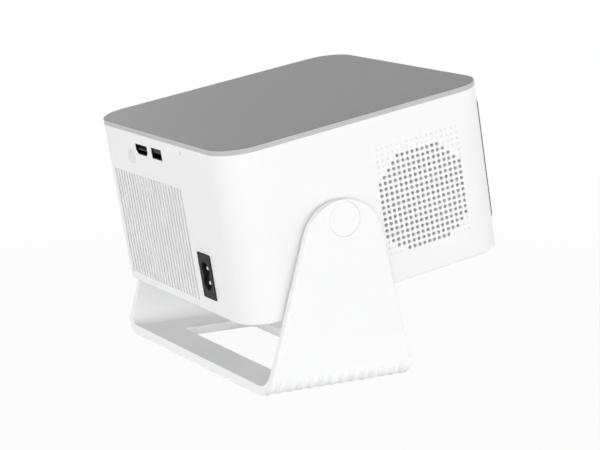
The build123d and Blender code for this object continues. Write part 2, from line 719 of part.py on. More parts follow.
def main_shell():
    """The white four-walled shell with its columns, stakes and all its openings."""
    outer = head_slab(0, BOTTOM_Z, SHELL_TOP)
    outer = fillet(outer.faces().sort_by(Axis.Z)[0].edges(), BOTTOM_EDGE_ROUND)
    shell = outer - head_slab(WALL, BOTTOM_Z - CUT_MARGIN, SHELL_TOP + CUT_MARGIN)
    column_top = SHELL_TOP - LIP_DEPTH - CUT_MARGIN
    inside = head_slab(WALL / 2, FLOOR_Z, column_top)
    for x, y in corner_columns():
        shell += rod_z(COLUMN_RADIUS, FLOOR_Z, column_top, x, y) & inside
        shell -= rod_z(CASE_SCREW_RADIUS + FIT_GAP, FLOOR_Z, FLOOR_Z + CASE_SCREW_LENGTH, x, y)
        shell -= rod_z(PEG_RADIUS + FIT_GAP, column_top - PEG_LENGTH, column_top, x, y)
    plate_end = INNER_X - PLATE_THICKNESS - STAKE_PROUD
    flange_end = INNER_X - SPEAKER_FLANGE_THICKNESS - STAKE_PROUD
    for side in SIDES.values():
        wall = side * (INNER_X + WALL / 2)
        shell += [rod_x(STAKE_RADIUS, side * plate_end, wall, y, z) for y, z in stake_places()]
        shell += [rod_x(STAKE_RADIUS, side * flange_end, wall, y, z) for y, z in speaker_stakes()]
        outside = side * (SIDE_X + CUT_MARGIN)
        shell -= rod_x(PIN_RADIUS + PIVOT_PLAY, side * (INNER_X - CUT_MARGIN), outside)
    return shell - front_cuts() - socket_cuts() - vent_cuts() - grille_cuts()


def top_cover():
    """The grey cover: a plate flush with the walls, a locating lip and four pegs."""
    cover = head_slab(0, SHELL_TOP, TOP_Z)
    cover = fillet(cover.faces().sort_by(Axis.Z)[-1].edges(), TOP_EDGE_ROUND)
    lip_inset = WALL + COVER_GAP
    lip = head_slab(lip_inset, SHELL_TOP - LIP_DEPTH, SHELL_TOP)
    lip -= head_slab(lip_inset + LIP_THICKNESS, SHELL_TOP - LIP_DEPTH, SHELL_TOP)
    cover += lip
    column_top = SHELL_TOP - LIP_DEPTH - CUT_MARGIN
    peg_end = column_top - PEG_LENGTH + CUT_MARGIN
    cover += [rod_z(PEG_RADIUS, peg_end, SHELL_TOP, x, y) for x, y in corner_columns()]
    return cover


def engine_post_places():
    """Where the engine's four posts stand on the bottom cover."""
    x = ENGINE_X - ENGINE_POST_INSET
    front = ENGINE_FRONT + ENGINE_POST_INSET
    rear = ENGINE_REAR - ENGINE_POST_INSET
    return [(-x, front), (x, front), (-x, rear), (x, rear)]


def supply_post_places():
    """Where the four posts of the supply board stand."""
    left = SUPPLY_LEFT + SUPPLY_POST_INSET
    right = SUPPLY_RIGHT - SUPPLY_POST_INSET
    front = SUPPLY_FRONT + SUPPLY_POST_INSET
    rear = SUPPLY_REAR - SUPPLY_POST_INSET
    return [(left, front), (right, front), (left, rear), (right, rear)]


def bottom_cover():
    """The plate inside the shell's lower edge, with air slots, screw seats and posts."""
    cover = head_slab(WALL + COVER_GAP, BOTTOM_Z, FLOOR_Z)
    for x, y in engine_post_places():
        cover += rod_z(ENGINE_POST_RADIUS, FLOOR_Z, ENGINE_BOTTOM, x, y)
        cover += rod_z(SPIGOT_RADIUS, FLOOR_Z, ENGINE_BOTTOM + SPIGOT_LENGTH, x, y)
    for x, y in supply_post_places():
        cover += rod_z(PILLAR_RADIUS, FLOOR_Z, SUPPLY_BOTTOM, x, y)
        cover -= rod_z(SCREW_RADIUS + FIT_GAP, SUPPLY_BOTTOM - SCREW_LENGTH, SUPPLY_BOTTOM, x, y)
    seat = BOTTOM_Z + CASE_SCREW_HEAD_HEIGHT
    for x, y in corner_columns():
        cover -= rod_z(CASE_SCREW_HEAD_RADIUS + COVER_GAP, BOTTOM_Z, seat, x, y)
        cover -= rod_z(CASE_SCREW_RADIUS + FIT_GAP, BOTTOM_Z, FLOOR_Z, x, y)
    first = -(INTAKE_SLOTS - 1) / 2 * INTAKE_PITCH
    middle = (ENGINE_FRONT + ENGINE_REAR) / 2
    slot = SlotOverall(INTAKE_SLOT_LENGTH, INTAKE_SLOT_WIDTH, rotation=90)
    for index in range(INTAKE_SLOTS):
        cover -= Pos(first + index * INTAKE_PITCH, middle, BOTTOM_Z) * extrude(slot, BOTTOM_THICKNESS)
    return cover


def case_screws():
    """The four screws that hold the bottom cover to the shell's columns."""
    one = screw(
        CASE_SCREW_RADIUS,
        CASE_SCREW_LENGTH + BOTTOM_THICKNESS - CASE_SCREW_HEAD_HEIGHT - CUT_MARGIN,
        CASE_SCREW_HEAD_RADIUS,
        CASE_SCREW_HEAD_HEIGHT,
    )
    seat = BOTTOM_Z + CASE_SCREW_HEAD_HEIGHT
    return [Pos(x, y, seat) * Rot(180, 0, 0) * one for x, y in corner_columns()]


def front_panel():
    """The glossy black panel in the front wall's recess, standing slightly proud."""
    outline = RectangleRounded(PANEL_WIDTH, PANEL_HEIGHT, PANEL_CORNER)
    panel = plate_y(outline, PANEL_FACE, FRONT_Y + PANEL_RECESS, 0, PANEL_Z)
    panel = fillet(panel.faces().sort_by(Axis.Y)[0].edges(), PANEL_EDGE_ROUND)
    panel -= rod_y(BEZEL_RADIUS + PANEL_GAP, PANEL_FACE, FRONT_Y + PANEL_RECESS, 0, OPTIC_Z)
    hole = rod_y(CAMERA_RADIUS + PANEL_GAP, PANEL_FACE, FRONT_Y + PANEL_RECESS, CAMERA_X, CAMERA_Z)
    return panel - hole


def lens_bezel():
    """The flared ring around the lens, with a sleeve through the panel and the front wall."""
    face = PANEL_FACE - BEZEL_PROUD
    flange = rod_y(BEZEL_RADIUS + BEZEL_FLANGE, face, PANEL_FACE, 0, OPTIC_Z)
    flange = fillet(flange.edges().group_by(Axis.Y)[0], BEZEL_EDGE_ROUND)
    sleeve_end = FRONT_Y + BEZEL_SLEEVE_BEHIND
    bezel = flange + rod_y(BEZEL_RADIUS, face + BEZEL_EDGE_ROUND, sleeve_end, 0, OPTIC_Z)
    bezel -= rod_y(BEZEL_BORE, face, sleeve_end, 0, OPTIC_Z)
    mouth = Cone(BEZEL_BORE, BEZEL_BORE + BEZEL_FLARE, BEZEL_PROUD)
    return bezel - Pos(0, face + BEZEL_PROUD / 2, OPTIC_Z) * Rot(90, 0, 0) * mouth


def focus_camera():
    """The small camera that judges the picture's sharpness, behind the front wall."""
    half = CAMERA_BODY / 2
    body = block(
        CAMERA_X - half,
        CAMERA_X + half,
        INNER_FRONT,
        INNER_FRONT + CAMERA_DEPTH,
        CAMERA_Z - half,
        CAMERA_Z + half,
    )
    tube = rod_y(CAMERA_RADIUS, PANEL_FACE + PANEL_EDGE_ROUND, INNER_FRONT, CAMERA_X, CAMERA_Z)
    eye = rod_y(
        CAMERA_RADIUS / 2, PANEL_FACE, PANEL_FACE + 2 * PANEL_EDGE_ROUND, CAMERA_X, CAMERA_Z
    )
    return body + tube - eye


# The light engine


def pane_places():
    """Front face and thickness of each pane in the engine, from the lens towards the lamp."""
    sizes = {
        "fresnel_front": FRESNEL_THICKNESS,
        "lcd_panel": PANEL_GLASS_THICKNESS,
        "fresnel_rear": FRESNEL_THICKNESS,
        "heat_glass": HEAT_GLASS_THICKNESS,
    }
    start = ENGINE_FRONT + ENGINE_WALL + PANE_SPACING
    return {name: (start + index * PANE_SPACING, size) for index, (name, size) in enumerate(sizes.items())}


def pane(name):
    """A flat pane that stands on the engine's floor, held by the grooves in its side walls."""
    front, thickness = pane_places()[name]
    x = ENGINE_INNER_X + GROOVE_DEPTH - GROOVE_GAP
    return block(-x, x, front, front + thickness, ENGINE_FLOOR, ENGINE_TOP - GROOVE_GAP)


def motor_screw_places():
    """Where the two screws of the focus motor's flange go, as X and Z, across the line to the lens."""
    across = radians(MOTOR_ANGLE + 90)
    step_x = MOTOR_FLANGE_SPREAD * cos(across)
    step_z = MOTOR_FLANGE_SPREAD * sin(across)
    return [(MOTOR_X - step_x, MOTOR_Z - step_z), (MOTOR_X + step_x, MOTOR_Z + step_z)]


def mount_screw_places():
    """Where the three screws of the lens mount go, as X and Z, clear of the motor."""
    angles = [MOTOR_ANGLE + turn for turn in (60, 180, 300)]
    return [
        (MOUNT_EAR_CIRCLE * cos(radians(a)), OPTIC_Z + MOUNT_EAR_CIRCLE * sin(radians(a))) for a in angles
    ]


def sink_post_places():
    """Where the engine's rear posts meet the heat sink's base, as X and Z."""
    x = LAMP_PLATE_SIZE / 2 + SINK_POST_INSET
    z = LAMP_PLATE_SIZE / 2 - SINK_POST_INSET
    return [(-x, OPTIC_Z - z), (x, OPTIC_Z - z), (-x, OPTIC_Z + z), (x, OPTIC_Z + z)]


def engine_housing():
    """The open-topped box that holds the panes and the condenser in line."""
    body = block(-ENGINE_X, ENGINE_X, ENGINE_FRONT, ENGINE_REAR, ENGINE_BOTTOM, ENGINE_TOP)
    body -= block(
        -ENGINE_INNER_X,
        ENGINE_INNER_X,
        ENGINE_FRONT + ENGINE_WALL,
        ENGINE_REAR - ENGINE_WALL,
        ENGINE_FLOOR,
        ENGINE_TOP,
    )
    groove_x = ENGINE_INNER_X + GROOVE_DEPTH
    for front, thickness in pane_places().values():
        groove = block(
            -groove_x,
            groove_x,
            front - GROOVE_GAP,
            front + thickness + GROOVE_GAP,
            ENGINE_FLOOR,
            ENGINE_TOP,
        )
        body -= groove
    seat = condenser_seat()
    wall_end = seat + CONDENSER_RIM + CONDENSER_SEAT
    body += block(-ENGINE_INNER_X, ENGINE_INNER_X, seat, wall_end, ENGINE_FLOOR, ENGINE_TOP)
    body -= rod_y(CONDENSER_FLANGE_RADIUS + FIT_GAP, seat, seat + CONDENSER_RIM, 0, OPTIC_Z)
    body -= rod_y(CONDENSER_CAP_RADIUS + GROOVE_GAP, seat, wall_end, 0, OPTIC_Z)
    body -= rod_y(ENGINE_WINDOW_RADIUS, ENGINE_FRONT, ENGINE_FRONT + ENGINE_WALL, 0, OPTIC_Z)
    half = LAMP_WINDOW / 2
    rear_wall = ENGINE_REAR - ENGINE_WALL
    body -= block(-half, half, rear_wall, ENGINE_REAR, OPTIC_Z - half, OPTIC_Z + half)
    for x, z in sink_post_places():
        body += rod_y(SINK_POST_RADIUS, rear_wall, SINK_FRONT, x, z)
    for x, z in motor_screw_places() + mount_screw_places():
        body -= rod_y(SCREW_RADIUS + FIT_GAP, ENGINE_FRONT, ENGINE_FRONT + SCREW_LENGTH, x, z)
    for x, y in engine_post_places():
        body -= rod_z(SPIGOT_RADIUS + FIT_GAP, ENGINE_BOTTOM, ENGINE_BOTTOM + SPIGOT_LENGTH + FIT_GAP, x, y)
    return body


def condenser_seat():
    """The plane of the condenser's flat side."""
    return ENGINE_REAR - CONDENSER_FROM_REAR


def pillar_places():
    """The four pillars on the engine's lid that carry the main board."""
    x = ENGINE_X - PILLAR_INSET
    front = max(ENGINE_FRONT, BOARD_FRONT) + PILLAR_INSET
    rear = ENGINE_REAR - PILLAR_INSET
    return [(-x, front), (x, front), (-x, rear), (x, rear)]


def ribbon_plane():
    """The middle of the display panel's thickness, where its ribbon leaves it."""
    front, thickness = pane_places()["lcd_panel"]
    return front + thickness / 2


def engine_lid():
    """The lid over the engine, with the board's pillars and a slit for the ribbon."""
    lid = block(-ENGINE_X, ENGINE_X, ENGINE_FRONT, ENGINE_REAR, ENGINE_TOP, LID_TOP)
    for x, y in pillar_places():
        lid += rod_z(PILLAR_RADIUS, LID_TOP, BOARD_BOTTOM, x, y)
        shank_end = BOARD_TOP - SCREW_LENGTH
        lid -= rod_z(SCREW_RADIUS + FIT_GAP, shank_end, BOARD_BOTTOM, x, y)
    half_width = RIBBON_WIDTH / 2 + COVER_GAP
    half_gap = RIBBON_THICKNESS / 2 + COVER_GAP
    y = ribbon_plane()
    return lid - block(-half_width, half_width, y - half_gap, y + half_gap, ENGINE_TOP, LID_TOP)


def panel_ribbon():
    """The flat ribbon from the display panel's upper edge to the underside of the main board."""
    half = RIBBON_WIDTH / 2
    y = ribbon_plane()
    half_thick = RIBBON_THICKNESS / 2
    return block(-half, half, y - half_thick, y + half_thick, ENGINE_TOP - GROOVE_GAP, BOARD_BOTTOM)


def lens_solid(rim_radius, cap_radius, rim, front_sag, rear_sag):
    """A lens about the Y axis: a flat rim from y = 0 to y = rim, with a domed cap on each face."""
    edges = [
        Line((cap_radius, 0), (rim_radius, 0)),
        Line((rim_radius, 0), (rim_radius, rim)),
        Line((rim_radius, rim), (cap_radius, rim)),
    ]
    edges += dome(cap_radius, rim, rear_sag)
    edges.append(Line((0, rim + rear_sag), (0, -front_sag)))
    edges += dome(cap_radius, 0, -front_sag)
    return revolve(make_face(edges), Axis.Y)


def dome(cap_radius, level, sag):
    """Half of a dome's section, from its rim to its top, or a straight line where it is flat."""
    if sag == 0:
        return [Line((cap_radius, level), (0, level))]
    ball = (cap_radius**2 + sag**2) / (2 * abs(sag))
    middle = cap_radius / 2
    rise = sqrt(ball**2 - middle**2) - (ball - abs(sag))
    halfway = (middle, level + (rise if sag > 0 else -rise))
    return [ThreePointArc((cap_radius, level), halfway, (0, level + sag))]


def condenser_lens():
    """The lens that gathers the lamp's light, with its flat side to the panes."""
    lens = lens_solid(CONDENSER_FLANGE_RADIUS, CONDENSER_CAP_RADIUS, CONDENSER_RIM, 0, CONDENSER_SAG)
    return Pos(0, condenser_seat(), OPTIC_Z) * lens


def lamp_module():
    """The light-emitting chip on its metal board, clamped between the engine and the heat sink."""
    half = LAMP_PLATE_SIZE / 2
    plate = block(-half, half, ENGINE_REAR, SINK_FRONT, OPTIC_Z - half, OPTIC_Z + half)
    chip_half = LAMP_CHIP_SIZE / 2
    chip = block(
        -chip_half,
        chip_half,
        ENGINE_REAR - LAMP_CHIP_THICKNESS,
        ENGINE_REAR,
        OPTIC_Z - chip_half,
        OPTIC_Z + chip_half,
    )
    return plate + chip


def heat_sink():
    """A finned heat sink that reaches from the lamp to the fan."""
    left = -LAMP_PLATE_SIZE / 2 - 2 * SINK_POST_INSET
    right = VENT_X + FAN_SIZE / 2
    low = VENT_Z - FAN_SIZE / 2
    high = OPTIC_Z + LAMP_PLATE_SIZE / 2
    fin_start = SINK_FRONT + SINK_BASE
    sink = block(left, right, SINK_FRONT, fin_start, low, high)
    step = (right - left - SINK_FIN_THICKNESS) / (SINK_FINS - 1)
    fins = []
    for index in range(SINK_FINS):
        x = left + index * step
        fins.append(block(x, x + SINK_FIN_THICKNESS, fin_start, FAN_FRONT, low, high))
    return sink + fins


# The projection lens and its focus drive


def around_axis(shape, turn):
    """A shape turned about the optical axis, by degrees from the direction straight up."""
    return Pos(0, 0, OPTIC_Z) * Rot(0, turn, 0) * shape


def guide_turns():
    """The directions of the guide pins about the optical axis."""
    return [index * 360 / GUIDE_PINS for index in range(GUIDE_PINS)]


def lens_mount():
    """The fixed tube on the engine's front, with straight guide slots and a groove for the clip."""
    front = ENGINE_FRONT - MOUNT_LENGTH
    mount = rod_y(MOUNT_RADIUS, front, ENGINE_FRONT, 0, OPTIC_Z)
    flange_front = ENGINE_FRONT - MOUNT_FLANGE_THICKNESS
    mount += rod_y(MOUNT_FLANGE_RADIUS, flange_front, ENGINE_FRONT, 0, OPTIC_Z)
    shoulder_front = ENGINE_FRONT - RING_FROM_ENGINE
    mount += rod_y(SHOULDER_RADIUS, shoulder_front, shoulder_front + SHOULDER_THICKNESS, 0, OPTIC_Z)
    for x, z in mount_screw_places():
        mount += rod_y(MOUNT_EAR_RADIUS, flange_front, ENGINE_FRONT, x, z)
        mount -= rod_y(SCREW_RADIUS + FIT_GAP, flange_front, ENGINE_FRONT, x, z)
    mount -= rod_y(MOUNT_BORE, front, ENGINE_FRONT, 0, OPTIC_Z)
    clip_front, clip_rear = clip_limits()
    groove = rod_y(MOUNT_RADIUS + CUT_MARGIN, clip_front - FIT_GAP, clip_rear + FIT_GAP, 0, OPTIC_Z)
    groove_floor = MOUNT_RADIUS - CLIP_GROOVE_DEPTH
    groove -= rod_y(groove_floor, clip_front - FIT_GAP, clip_rear + FIT_GAP, 0, OPTIC_Z)
    mount -= groove
    half_width = GUIDE_PIN_RADIUS + GUIDE_SLOT_GAP
    half_length = FOCUS_TRAVEL + half_width + GUIDE_SLOT_GAP
    slot = block(
        -half_width,
        half_width,
        RING_Y - half_length,
        RING_Y + half_length,
        BARREL_RADIUS - CUT_MARGIN,
        MOUNT_RADIUS + CUT_MARGIN,
    )
    return mount - [around_axis(slot, turn) for turn in guide_turns()]


def clip_limits():
    """Front and rear faces of the clip that keeps the focus ring on the mount."""
    rear = RING_FRONT - RING_PLAY
    return rear - CLIP_THICKNESS, rear


def focus_clip():
    """The open spring clip in the mount's groove."""
    front, rear = clip_limits()
    clip = rod_y(SHOULDER_RADIUS, front, rear, 0, OPTIC_Z)
    clip -= rod_y(MOUNT_RADIUS - CLIP_GROOVE_DEPTH + FIT_GAP, front, rear, 0, OPTIC_Z)
    reach = SHOULDER_RADIUS + CUT_MARGIN
    half = reach * sin(radians(CLIP_MOUTH / 2))
    return clip - around_axis(block(-half, half, front, rear, 0, reach), 0)


def involute(angle):
    """The involute function of a pressure angle in radians."""
    return tan(angle) - angle


def tooth_points(teeth, middle, outside):
    """Corner points of one gear tooth about a middle angle in radians, root to root."""
    pitch_radius = GEAR_MODULE * teeth / 2
    base_radius = pitch_radius * cos(radians(PRESSURE_ANGLE))
    root = pitch_radius - TOOTH_ROOT * GEAR_MODULE
    start = max(base_radius, root)
    half_at_pitch = pi / (2 * teeth) - BACKLASH / (2 * pitch_radius)
    flank = []
    for index in range(FLANK_STEPS + 1):
        radius = start + (outside - start) * index / FLANK_STEPS
        at_radius = involute(acos(min(1.0, base_radius / radius)))
        half = half_at_pitch + involute(radians(PRESSURE_ANGLE)) - at_radius
        flank.append((radius, half))
    flank.insert(0, (root - CUT_MARGIN / 2, flank[0][1]))
    rising = [(radius, middle - half) for radius, half in flank]
    falling = [(radius, middle + half) for radius, half in reversed(flank)]
    return [(radius * cos(angle), radius * sin(angle)) for radius, angle in rising + falling]


def gear_teeth(teeth, middles):
    """A set of teeth at the given angles in radians, as faces drawn X across and Z up."""
    outside = GEAR_MODULE * (teeth / 2 + TOOTH_TIP)
    return [make_face(Polyline(*tooth_points(teeth, middle, outside), close=True)) for middle in middles]


def focus_ring():
    """The ring that turns on the lens mount, with slanting slots and a toothed sector."""
    ring = rod_y(RING_ROOT, RING_FRONT, RING_REAR, 0, OPTIC_Z)
    pitch = 2 * pi / RING_TEETH
    first = radians(MOTOR_ANGLE) - (RING_SECTOR_TEETH - 1) / 2 * pitch
    middles = [first + index * pitch for index in range(RING_SECTOR_TEETH)]
    ring += [plate_y(tooth, RING_FRONT, RING_REAR, 0, OPTIC_Z) for tooth in gear_teeth(RING_TEETH, middles)]
    ring -= rod_y(RING_BORE, RING_FRONT, RING_REAR, 0, OPTIC_Z)
    slot_radius = (RING_BORE + RING_ROOT) / 2
    arc = slot_radius * radians(FOCUS_TURN)
    lead = FOCUS_TRAVEL / arc
    width = 2 * (GUIDE_PIN_RADIUS + CAM_SLOT_GAP)
    length = 2 * RING_ROOT * sin(radians(FOCUS_TURN)) + width
    height = RING_ROOT * (1 - cos(radians(FOCUS_TURN))) + RING_ROOT - RING_BORE + 2 * CUT_MARGIN
    centre = RING_ROOT + CUT_MARGIN - height / 2
    slant = Rot(0, 0, -acos(1 / sqrt(1 + lead**2)) * 180 / pi)
    slot = Pos(0, RING_Y, centre) * slant * Box(length, width, height)
    return ring - [around_axis(slot, turn) for turn in guide_turns()]


def focus_pinion():
    """The motor's small gear, with a gap between two teeth towards the ring."""
    pinion = rod_y(PINION_ROOT, RING_FRONT, RING_REAR, MOTOR_X, MOTOR_Z)
    pitch = 2 * pi / PINION_TEETH
    first = radians(MOTOR_ANGLE) + pi + pitch / 2
    middles = [first + index * pitch for index in range(PINION_TEETH)]
    faces = gear_teeth(PINION_TEETH, middles)
    pinion += [plate_y(tooth, RING_FRONT, RING_REAR, MOTOR_X, MOTOR_Z) for tooth in faces]
    return pinion - rod_y(MOTOR_SHAFT_RADIUS + FIT_GAP, RING_FRONT, RING_REAR, MOTOR_X, MOTOR_Z)


def focus_motor():
    """The focus motor, screwed by its flange to the engine's front, with its shaft forward."""
    body_front = RING_REAR + CUT_MARGIN
    motor = rod_y(MOTOR_RADIUS, body_front, ENGINE_FRONT, MOTOR_X, MOTOR_Z)
    flange_front = ENGINE_FRONT - MOTOR_FLANGE_THICKNESS
    for x, z in motor_screw_places():
        motor += rod_y(MOTOR_FLANGE_RADIUS, flange_front, ENGINE_FRONT, x, z)
    for x, z in motor_screw_places():
        motor -= rod_y(SCREW_RADIUS + FIT_GAP, flange_front, ENGINE_FRONT, x, z)
        motor -= rod_y(SCREW_HEAD_RADIUS + COVER_GAP, body_front, flange_front, x, z)
    return motor + rod_y(MOTOR_SHAFT_RADIUS, RING_FRONT, body_front, MOTOR_X, MOTOR_Z)


def lens_barrel():
    """The sliding tube of the glasses: a seat at each end, an aperture stop, and holes for the guide pins."""
    barrel = rod_y(BARREL_RADIUS, BARREL_FRONT, BARREL_REAR, 0, OPTIC_Z)
    front_seat = BARREL_FRONT + FRONT_LENS_SETBACK + LENS_RIM
    rear_seat = BARREL_REAR - REAR_LENS_SETBACK - LENS_RIM
    barrel -= rod_y(FRONT_LENS_RADIUS + FIT_GAP, BARREL_FRONT, front_seat, 0, OPTIC_Z)
    barrel -= rod_y(REAR_LENS_RADIUS + FIT_GAP, rear_seat, BARREL_REAR, 0, OPTIC_Z)
    stop_front = RING_Y + GUIDE_PIN_RADIUS + CUT_MARGIN
    stop_rear = stop_front + STOP_THICKNESS
    barrel -= rod_y(REAR_LENS_RADIUS - LENS_LEDGE, BARREL_FRONT, stop_front, 0, OPTIC_Z)
    barrel -= rod_y(REAR_LENS_RADIUS - LENS_LEDGE, stop_rear, BARREL_REAR, 0, OPTIC_Z)
    barrel -= rod_y(STOP_RADIUS, stop_front - CUT_MARGIN, stop_rear + CUT_MARGIN, 0, OPTIC_Z)
    hole = Pos(0, RING_Y, 0) * rod_z(GUIDE_PIN_RADIUS + FIT_GAP, 0, BARREL_RADIUS + CUT_MARGIN)
    return barrel - [around_axis(hole, turn) for turn in guide_turns()]


def guide_pins():
    """The pins that tie the barrel to the ring's slanting slots."""
    inner = REAR_LENS_RADIUS - LENS_LEDGE + CUT_MARGIN
    outer = RING_ROOT - CUT_MARGIN
    pin = Pos(0, RING_Y, 0) * rod_z(GUIDE_PIN_RADIUS, inner, outer)
    return [around_axis(pin, turn) for turn in guide_turns()]


def front_lens():
    """The large front glass on the barrel's front seat."""
    cap = FRONT_LENS_RADIUS - LENS_LEDGE - CUT_MARGIN
    lens = lens_solid(FRONT_LENS_RADIUS, cap, LENS_RIM, LENS_SAG, LENS_SAG)
    return Pos(0, BARREL_FRONT + FRONT_LENS_SETBACK, OPTIC_Z) * lens


def rear_lens():
    """The rear glass on the barrel's rear seat."""
    cap = REAR_LENS_RADIUS - LENS_LEDGE - CUT_MARGIN
    lens = lens_solid(REAR_LENS_RADIUS, cap, LENS_RIM, LENS_SAG, 0)
    return Pos(0, BARREL_REAR - REAR_LENS_SETBACK - LENS_RIM, OPTIC_Z) * lens


def lens_retainers():
    """The two rings that hold the glasses in the barrel."""
    front_end = BARREL_FRONT + FRONT_LENS_SETBACK
    front = rod_y(FRONT_LENS_RADIUS, front_end - RETAINER_THICKNESS, front_end, 0, OPTIC_Z)
    front -= rod_y(
        FRONT_LENS_RADIUS - LENS_LEDGE, front_end - RETAINER_THICKNESS, front_end, 0, OPTIC_Z
    )
    rear_start = BARREL_REAR - REAR_LENS_SETBACK
    rear = rod_y(REAR_LENS_RADIUS, rear_start, rear_start + RETAINER_THICKNESS, 0, OPTIC_Z)
    rear -= rod_y(
        REAR_LENS_RADIUS - LENS_LEDGE, rear_start, rear_start + RETAINER_THICKNESS, 0, OPTIC_Z
    )
    return [front, rear]


# Cooling


def fan_frame():
    """The square fan frame with its bore, rear struts and bearing tube."""
    outline = RectangleRounded(FAN_SIZE, FAN_SIZE, FAN_CORNER) - Circle(FAN_BORE_RADIUS)
    frame = plate_y(outline, FAN_FRONT, FAN_REAR, VENT_X, VENT_Z)
    strut_front = FAN_REAR - FAN_STRUT_DEPTH
    half = FAN_STRUT_WIDTH / 2
    bar = Rectangle(2 * FAN_BORE_RADIUS + CUT_MARGIN, 2 * half)
    for turn in (45, 135):
        frame += plate_y(Rot(0, 0, turn) * bar, strut_front, FAN_REAR, VENT_X, VENT_Z)
    frame += rod_y(FAN_HUB_RADIUS, strut_front, FAN_REAR, VENT_X, VENT_Z)
    bearing_front = FAN_FRONT + FAN_END_GAP + FAN_CUP_FLOOR + FAN_END_GAP
    frame += rod_y(FAN_BEARING_RADIUS, bearing_front, strut_front, VENT_X, VENT_Z)
    bore_end = FAN_REAR - CUT_MARGIN
    return frame - rod_y(FAN_SHAFT_RADIUS + FIT_GAP, bearing_front, bore_end, VENT_X, VENT_Z)


def fan_rotor():
    """The rotor: a cup with slanting blades and a shaft that runs in the frame's bearing."""
    front = FAN_FRONT + FAN_END_GAP
    rear = FAN_REAR - FAN_STRUT_DEPTH - FAN_END_GAP
    cup_floor = front + FAN_CUP_FLOOR
    rotor = rod_y(FAN_HUB_RADIUS, front, rear) - rod_y(FAN_HUB_RADIUS - FAN_SKIRT, cup_floor, rear)
    tip = FAN_BORE_RADIUS - FAN_BLADE_TIP_GAP
    root = FAN_HUB_RADIUS - FAN_SKIRT / 2
    space = rod_y(tip, front, rear) - rod_y(root, front, rear)
    chord = 2 * FAN_DEPTH
    blade = Pos((root + tip) / 2, (front + rear) / 2, 0) * Rot(FAN_BLADE_PITCH, 0, 0)
    blade = blade * Box(2 * (tip - root), FAN_BLADE_THICKNESS, chord)
    half_plane = block(0, tip, front, rear, -tip, tip)
    blade = blade & space & half_plane
    rotor += [Rot(0, index * 360 / FAN_BLADES, 0) * blade for index in range(FAN_BLADES)]
    shaft_end = FAN_REAR - 2 * CUT_MARGIN
    rotor += rod_y(FAN_SHAFT_RADIUS, front, shaft_end)
    return Pos(VENT_X, 0, VENT_Z) * rotor


def fan_gasket():
    """The foam frame between the fan and the rear wall."""
    inner = FAN_SIZE - 2 * FAN_GASKET_WIDTH
    outline = RectangleRounded(FAN_SIZE, FAN_SIZE, FAN_CORNER) - Rectangle(inner, inner)
    return plate_y(outline, FAN_REAR, INNER_REAR, VENT_X, VENT_Z)


# Sound


def speaker_stakes():
    """The four stakes of a speaker, as Y and Z."""
    half = SPEAKER_FLANGE / 2 - SPEAKER_FLANGE_CORNER + CUT_MARGIN
    corners = [(-half, -half), (-half, half), (half, -half), (half, half)]
    return [(SPEAKER_Y + y, SPEAKER_Z + z) for y, z in corners]


def on_side_wall(side, shape):
    """A shape drawn with +Z towards the grille, set against the inside of a side wall."""
    return Pos(side * INNER_X, SPEAKER_Y, SPEAKER_Z) * Rot(0, side * 90, 0) * shape


def section_ring(points):
    """A ring or bowl about the Z axis from its section's corner points, as radius and height."""
    return revolve(make_face(Polyline(*[(r, 0, z) for r, z in points], close=True)), Axis.Z)


def speaker_frame(side):
    """The speaker's square flange and tapering basket."""
    rim = SPEAKER_RIM_RADIUS
    ledge = rim - SPEAKER_LEDGE
    ledge_z = -SPEAKER_FLANGE_THICKNESS + CONE_SKIN
    flange_z = -SPEAKER_FLANGE_THICKNESS
    back_inner = SPEAKER_BACK_RADIUS - SPEAKER_SKIN
    back_z = SPEAKER_BACK_THICKNESS - SPEAKER_DEPTH
    basket = section_ring([
        (rim, 0),
        (rim + 2 * SPEAKER_LEDGE, 0),
        (rim + 2 * SPEAKER_LEDGE, flange_z),
        (rim, flange_z),
        (SPEAKER_BACK_RADIUS, -SPEAKER_DEPTH),
        (CONE_NECK_RADIUS, -SPEAKER_DEPTH),
        (CONE_NECK_RADIUS, back_z),
        (back_inner, back_z),
        (ledge, flange_z),
        (ledge, ledge_z),
        (rim, ledge_z),
    ])
    square = RectangleRounded(SPEAKER_FLANGE, SPEAKER_FLANGE, SPEAKER_FLANGE_CORNER)
    square -= Circle(rim + SPEAKER_LEDGE)
    frame = basket + extrude(square, flange_z)
    frame = on_side_wall(side, frame)
    inside = side * (INNER_X - SPEAKER_FLANGE_THICKNESS)
    for y, z in speaker_stakes():
        frame -= rod_x(STAKE_RADIUS + FIT_GAP, inside, side * INNER_X, y, z)
    return frame


def speaker_cone(side):
    """The paper cone and its dust cap, resting on the basket's ledge."""
    rim_low = -SPEAKER_FLANGE_THICKNESS + CONE_SKIN
    rim_high = rim_low + CONE_SKIN
    neck_z = rim_high - CONE_DEPTH
    rim = SPEAKER_RIM_RADIUS - COVER_GAP
    cone = section_ring([
        (rim, rim_low),
        (rim, rim_high),
        (CONE_RADIUS, rim_high),
        (CONE_NECK_RADIUS, neck_z),
        (0, neck_z + DUST_CAP_RISE),
        (0, neck_z + DUST_CAP_RISE - CONE_SKIN),
        (CONE_NECK_RADIUS, neck_z - CONE_SKIN),
        (CONE_RADIUS, rim_low),
    ])
    return on_side_wall(side, cone)


def speaker_magnet(side):
    """The magnet on the back of the basket."""
    rear = -SPEAKER_DEPTH - MAGNET_THICKNESS
    magnet = rod_z(MAGNET_RADIUS, rear, -SPEAKER_DEPTH)
    magnet = fillet(magnet.edges().group_by(Axis.Z)[0], CAPACITOR_EDGE_ROUND)
    return on_side_wall(side, magnet)


# Electronics


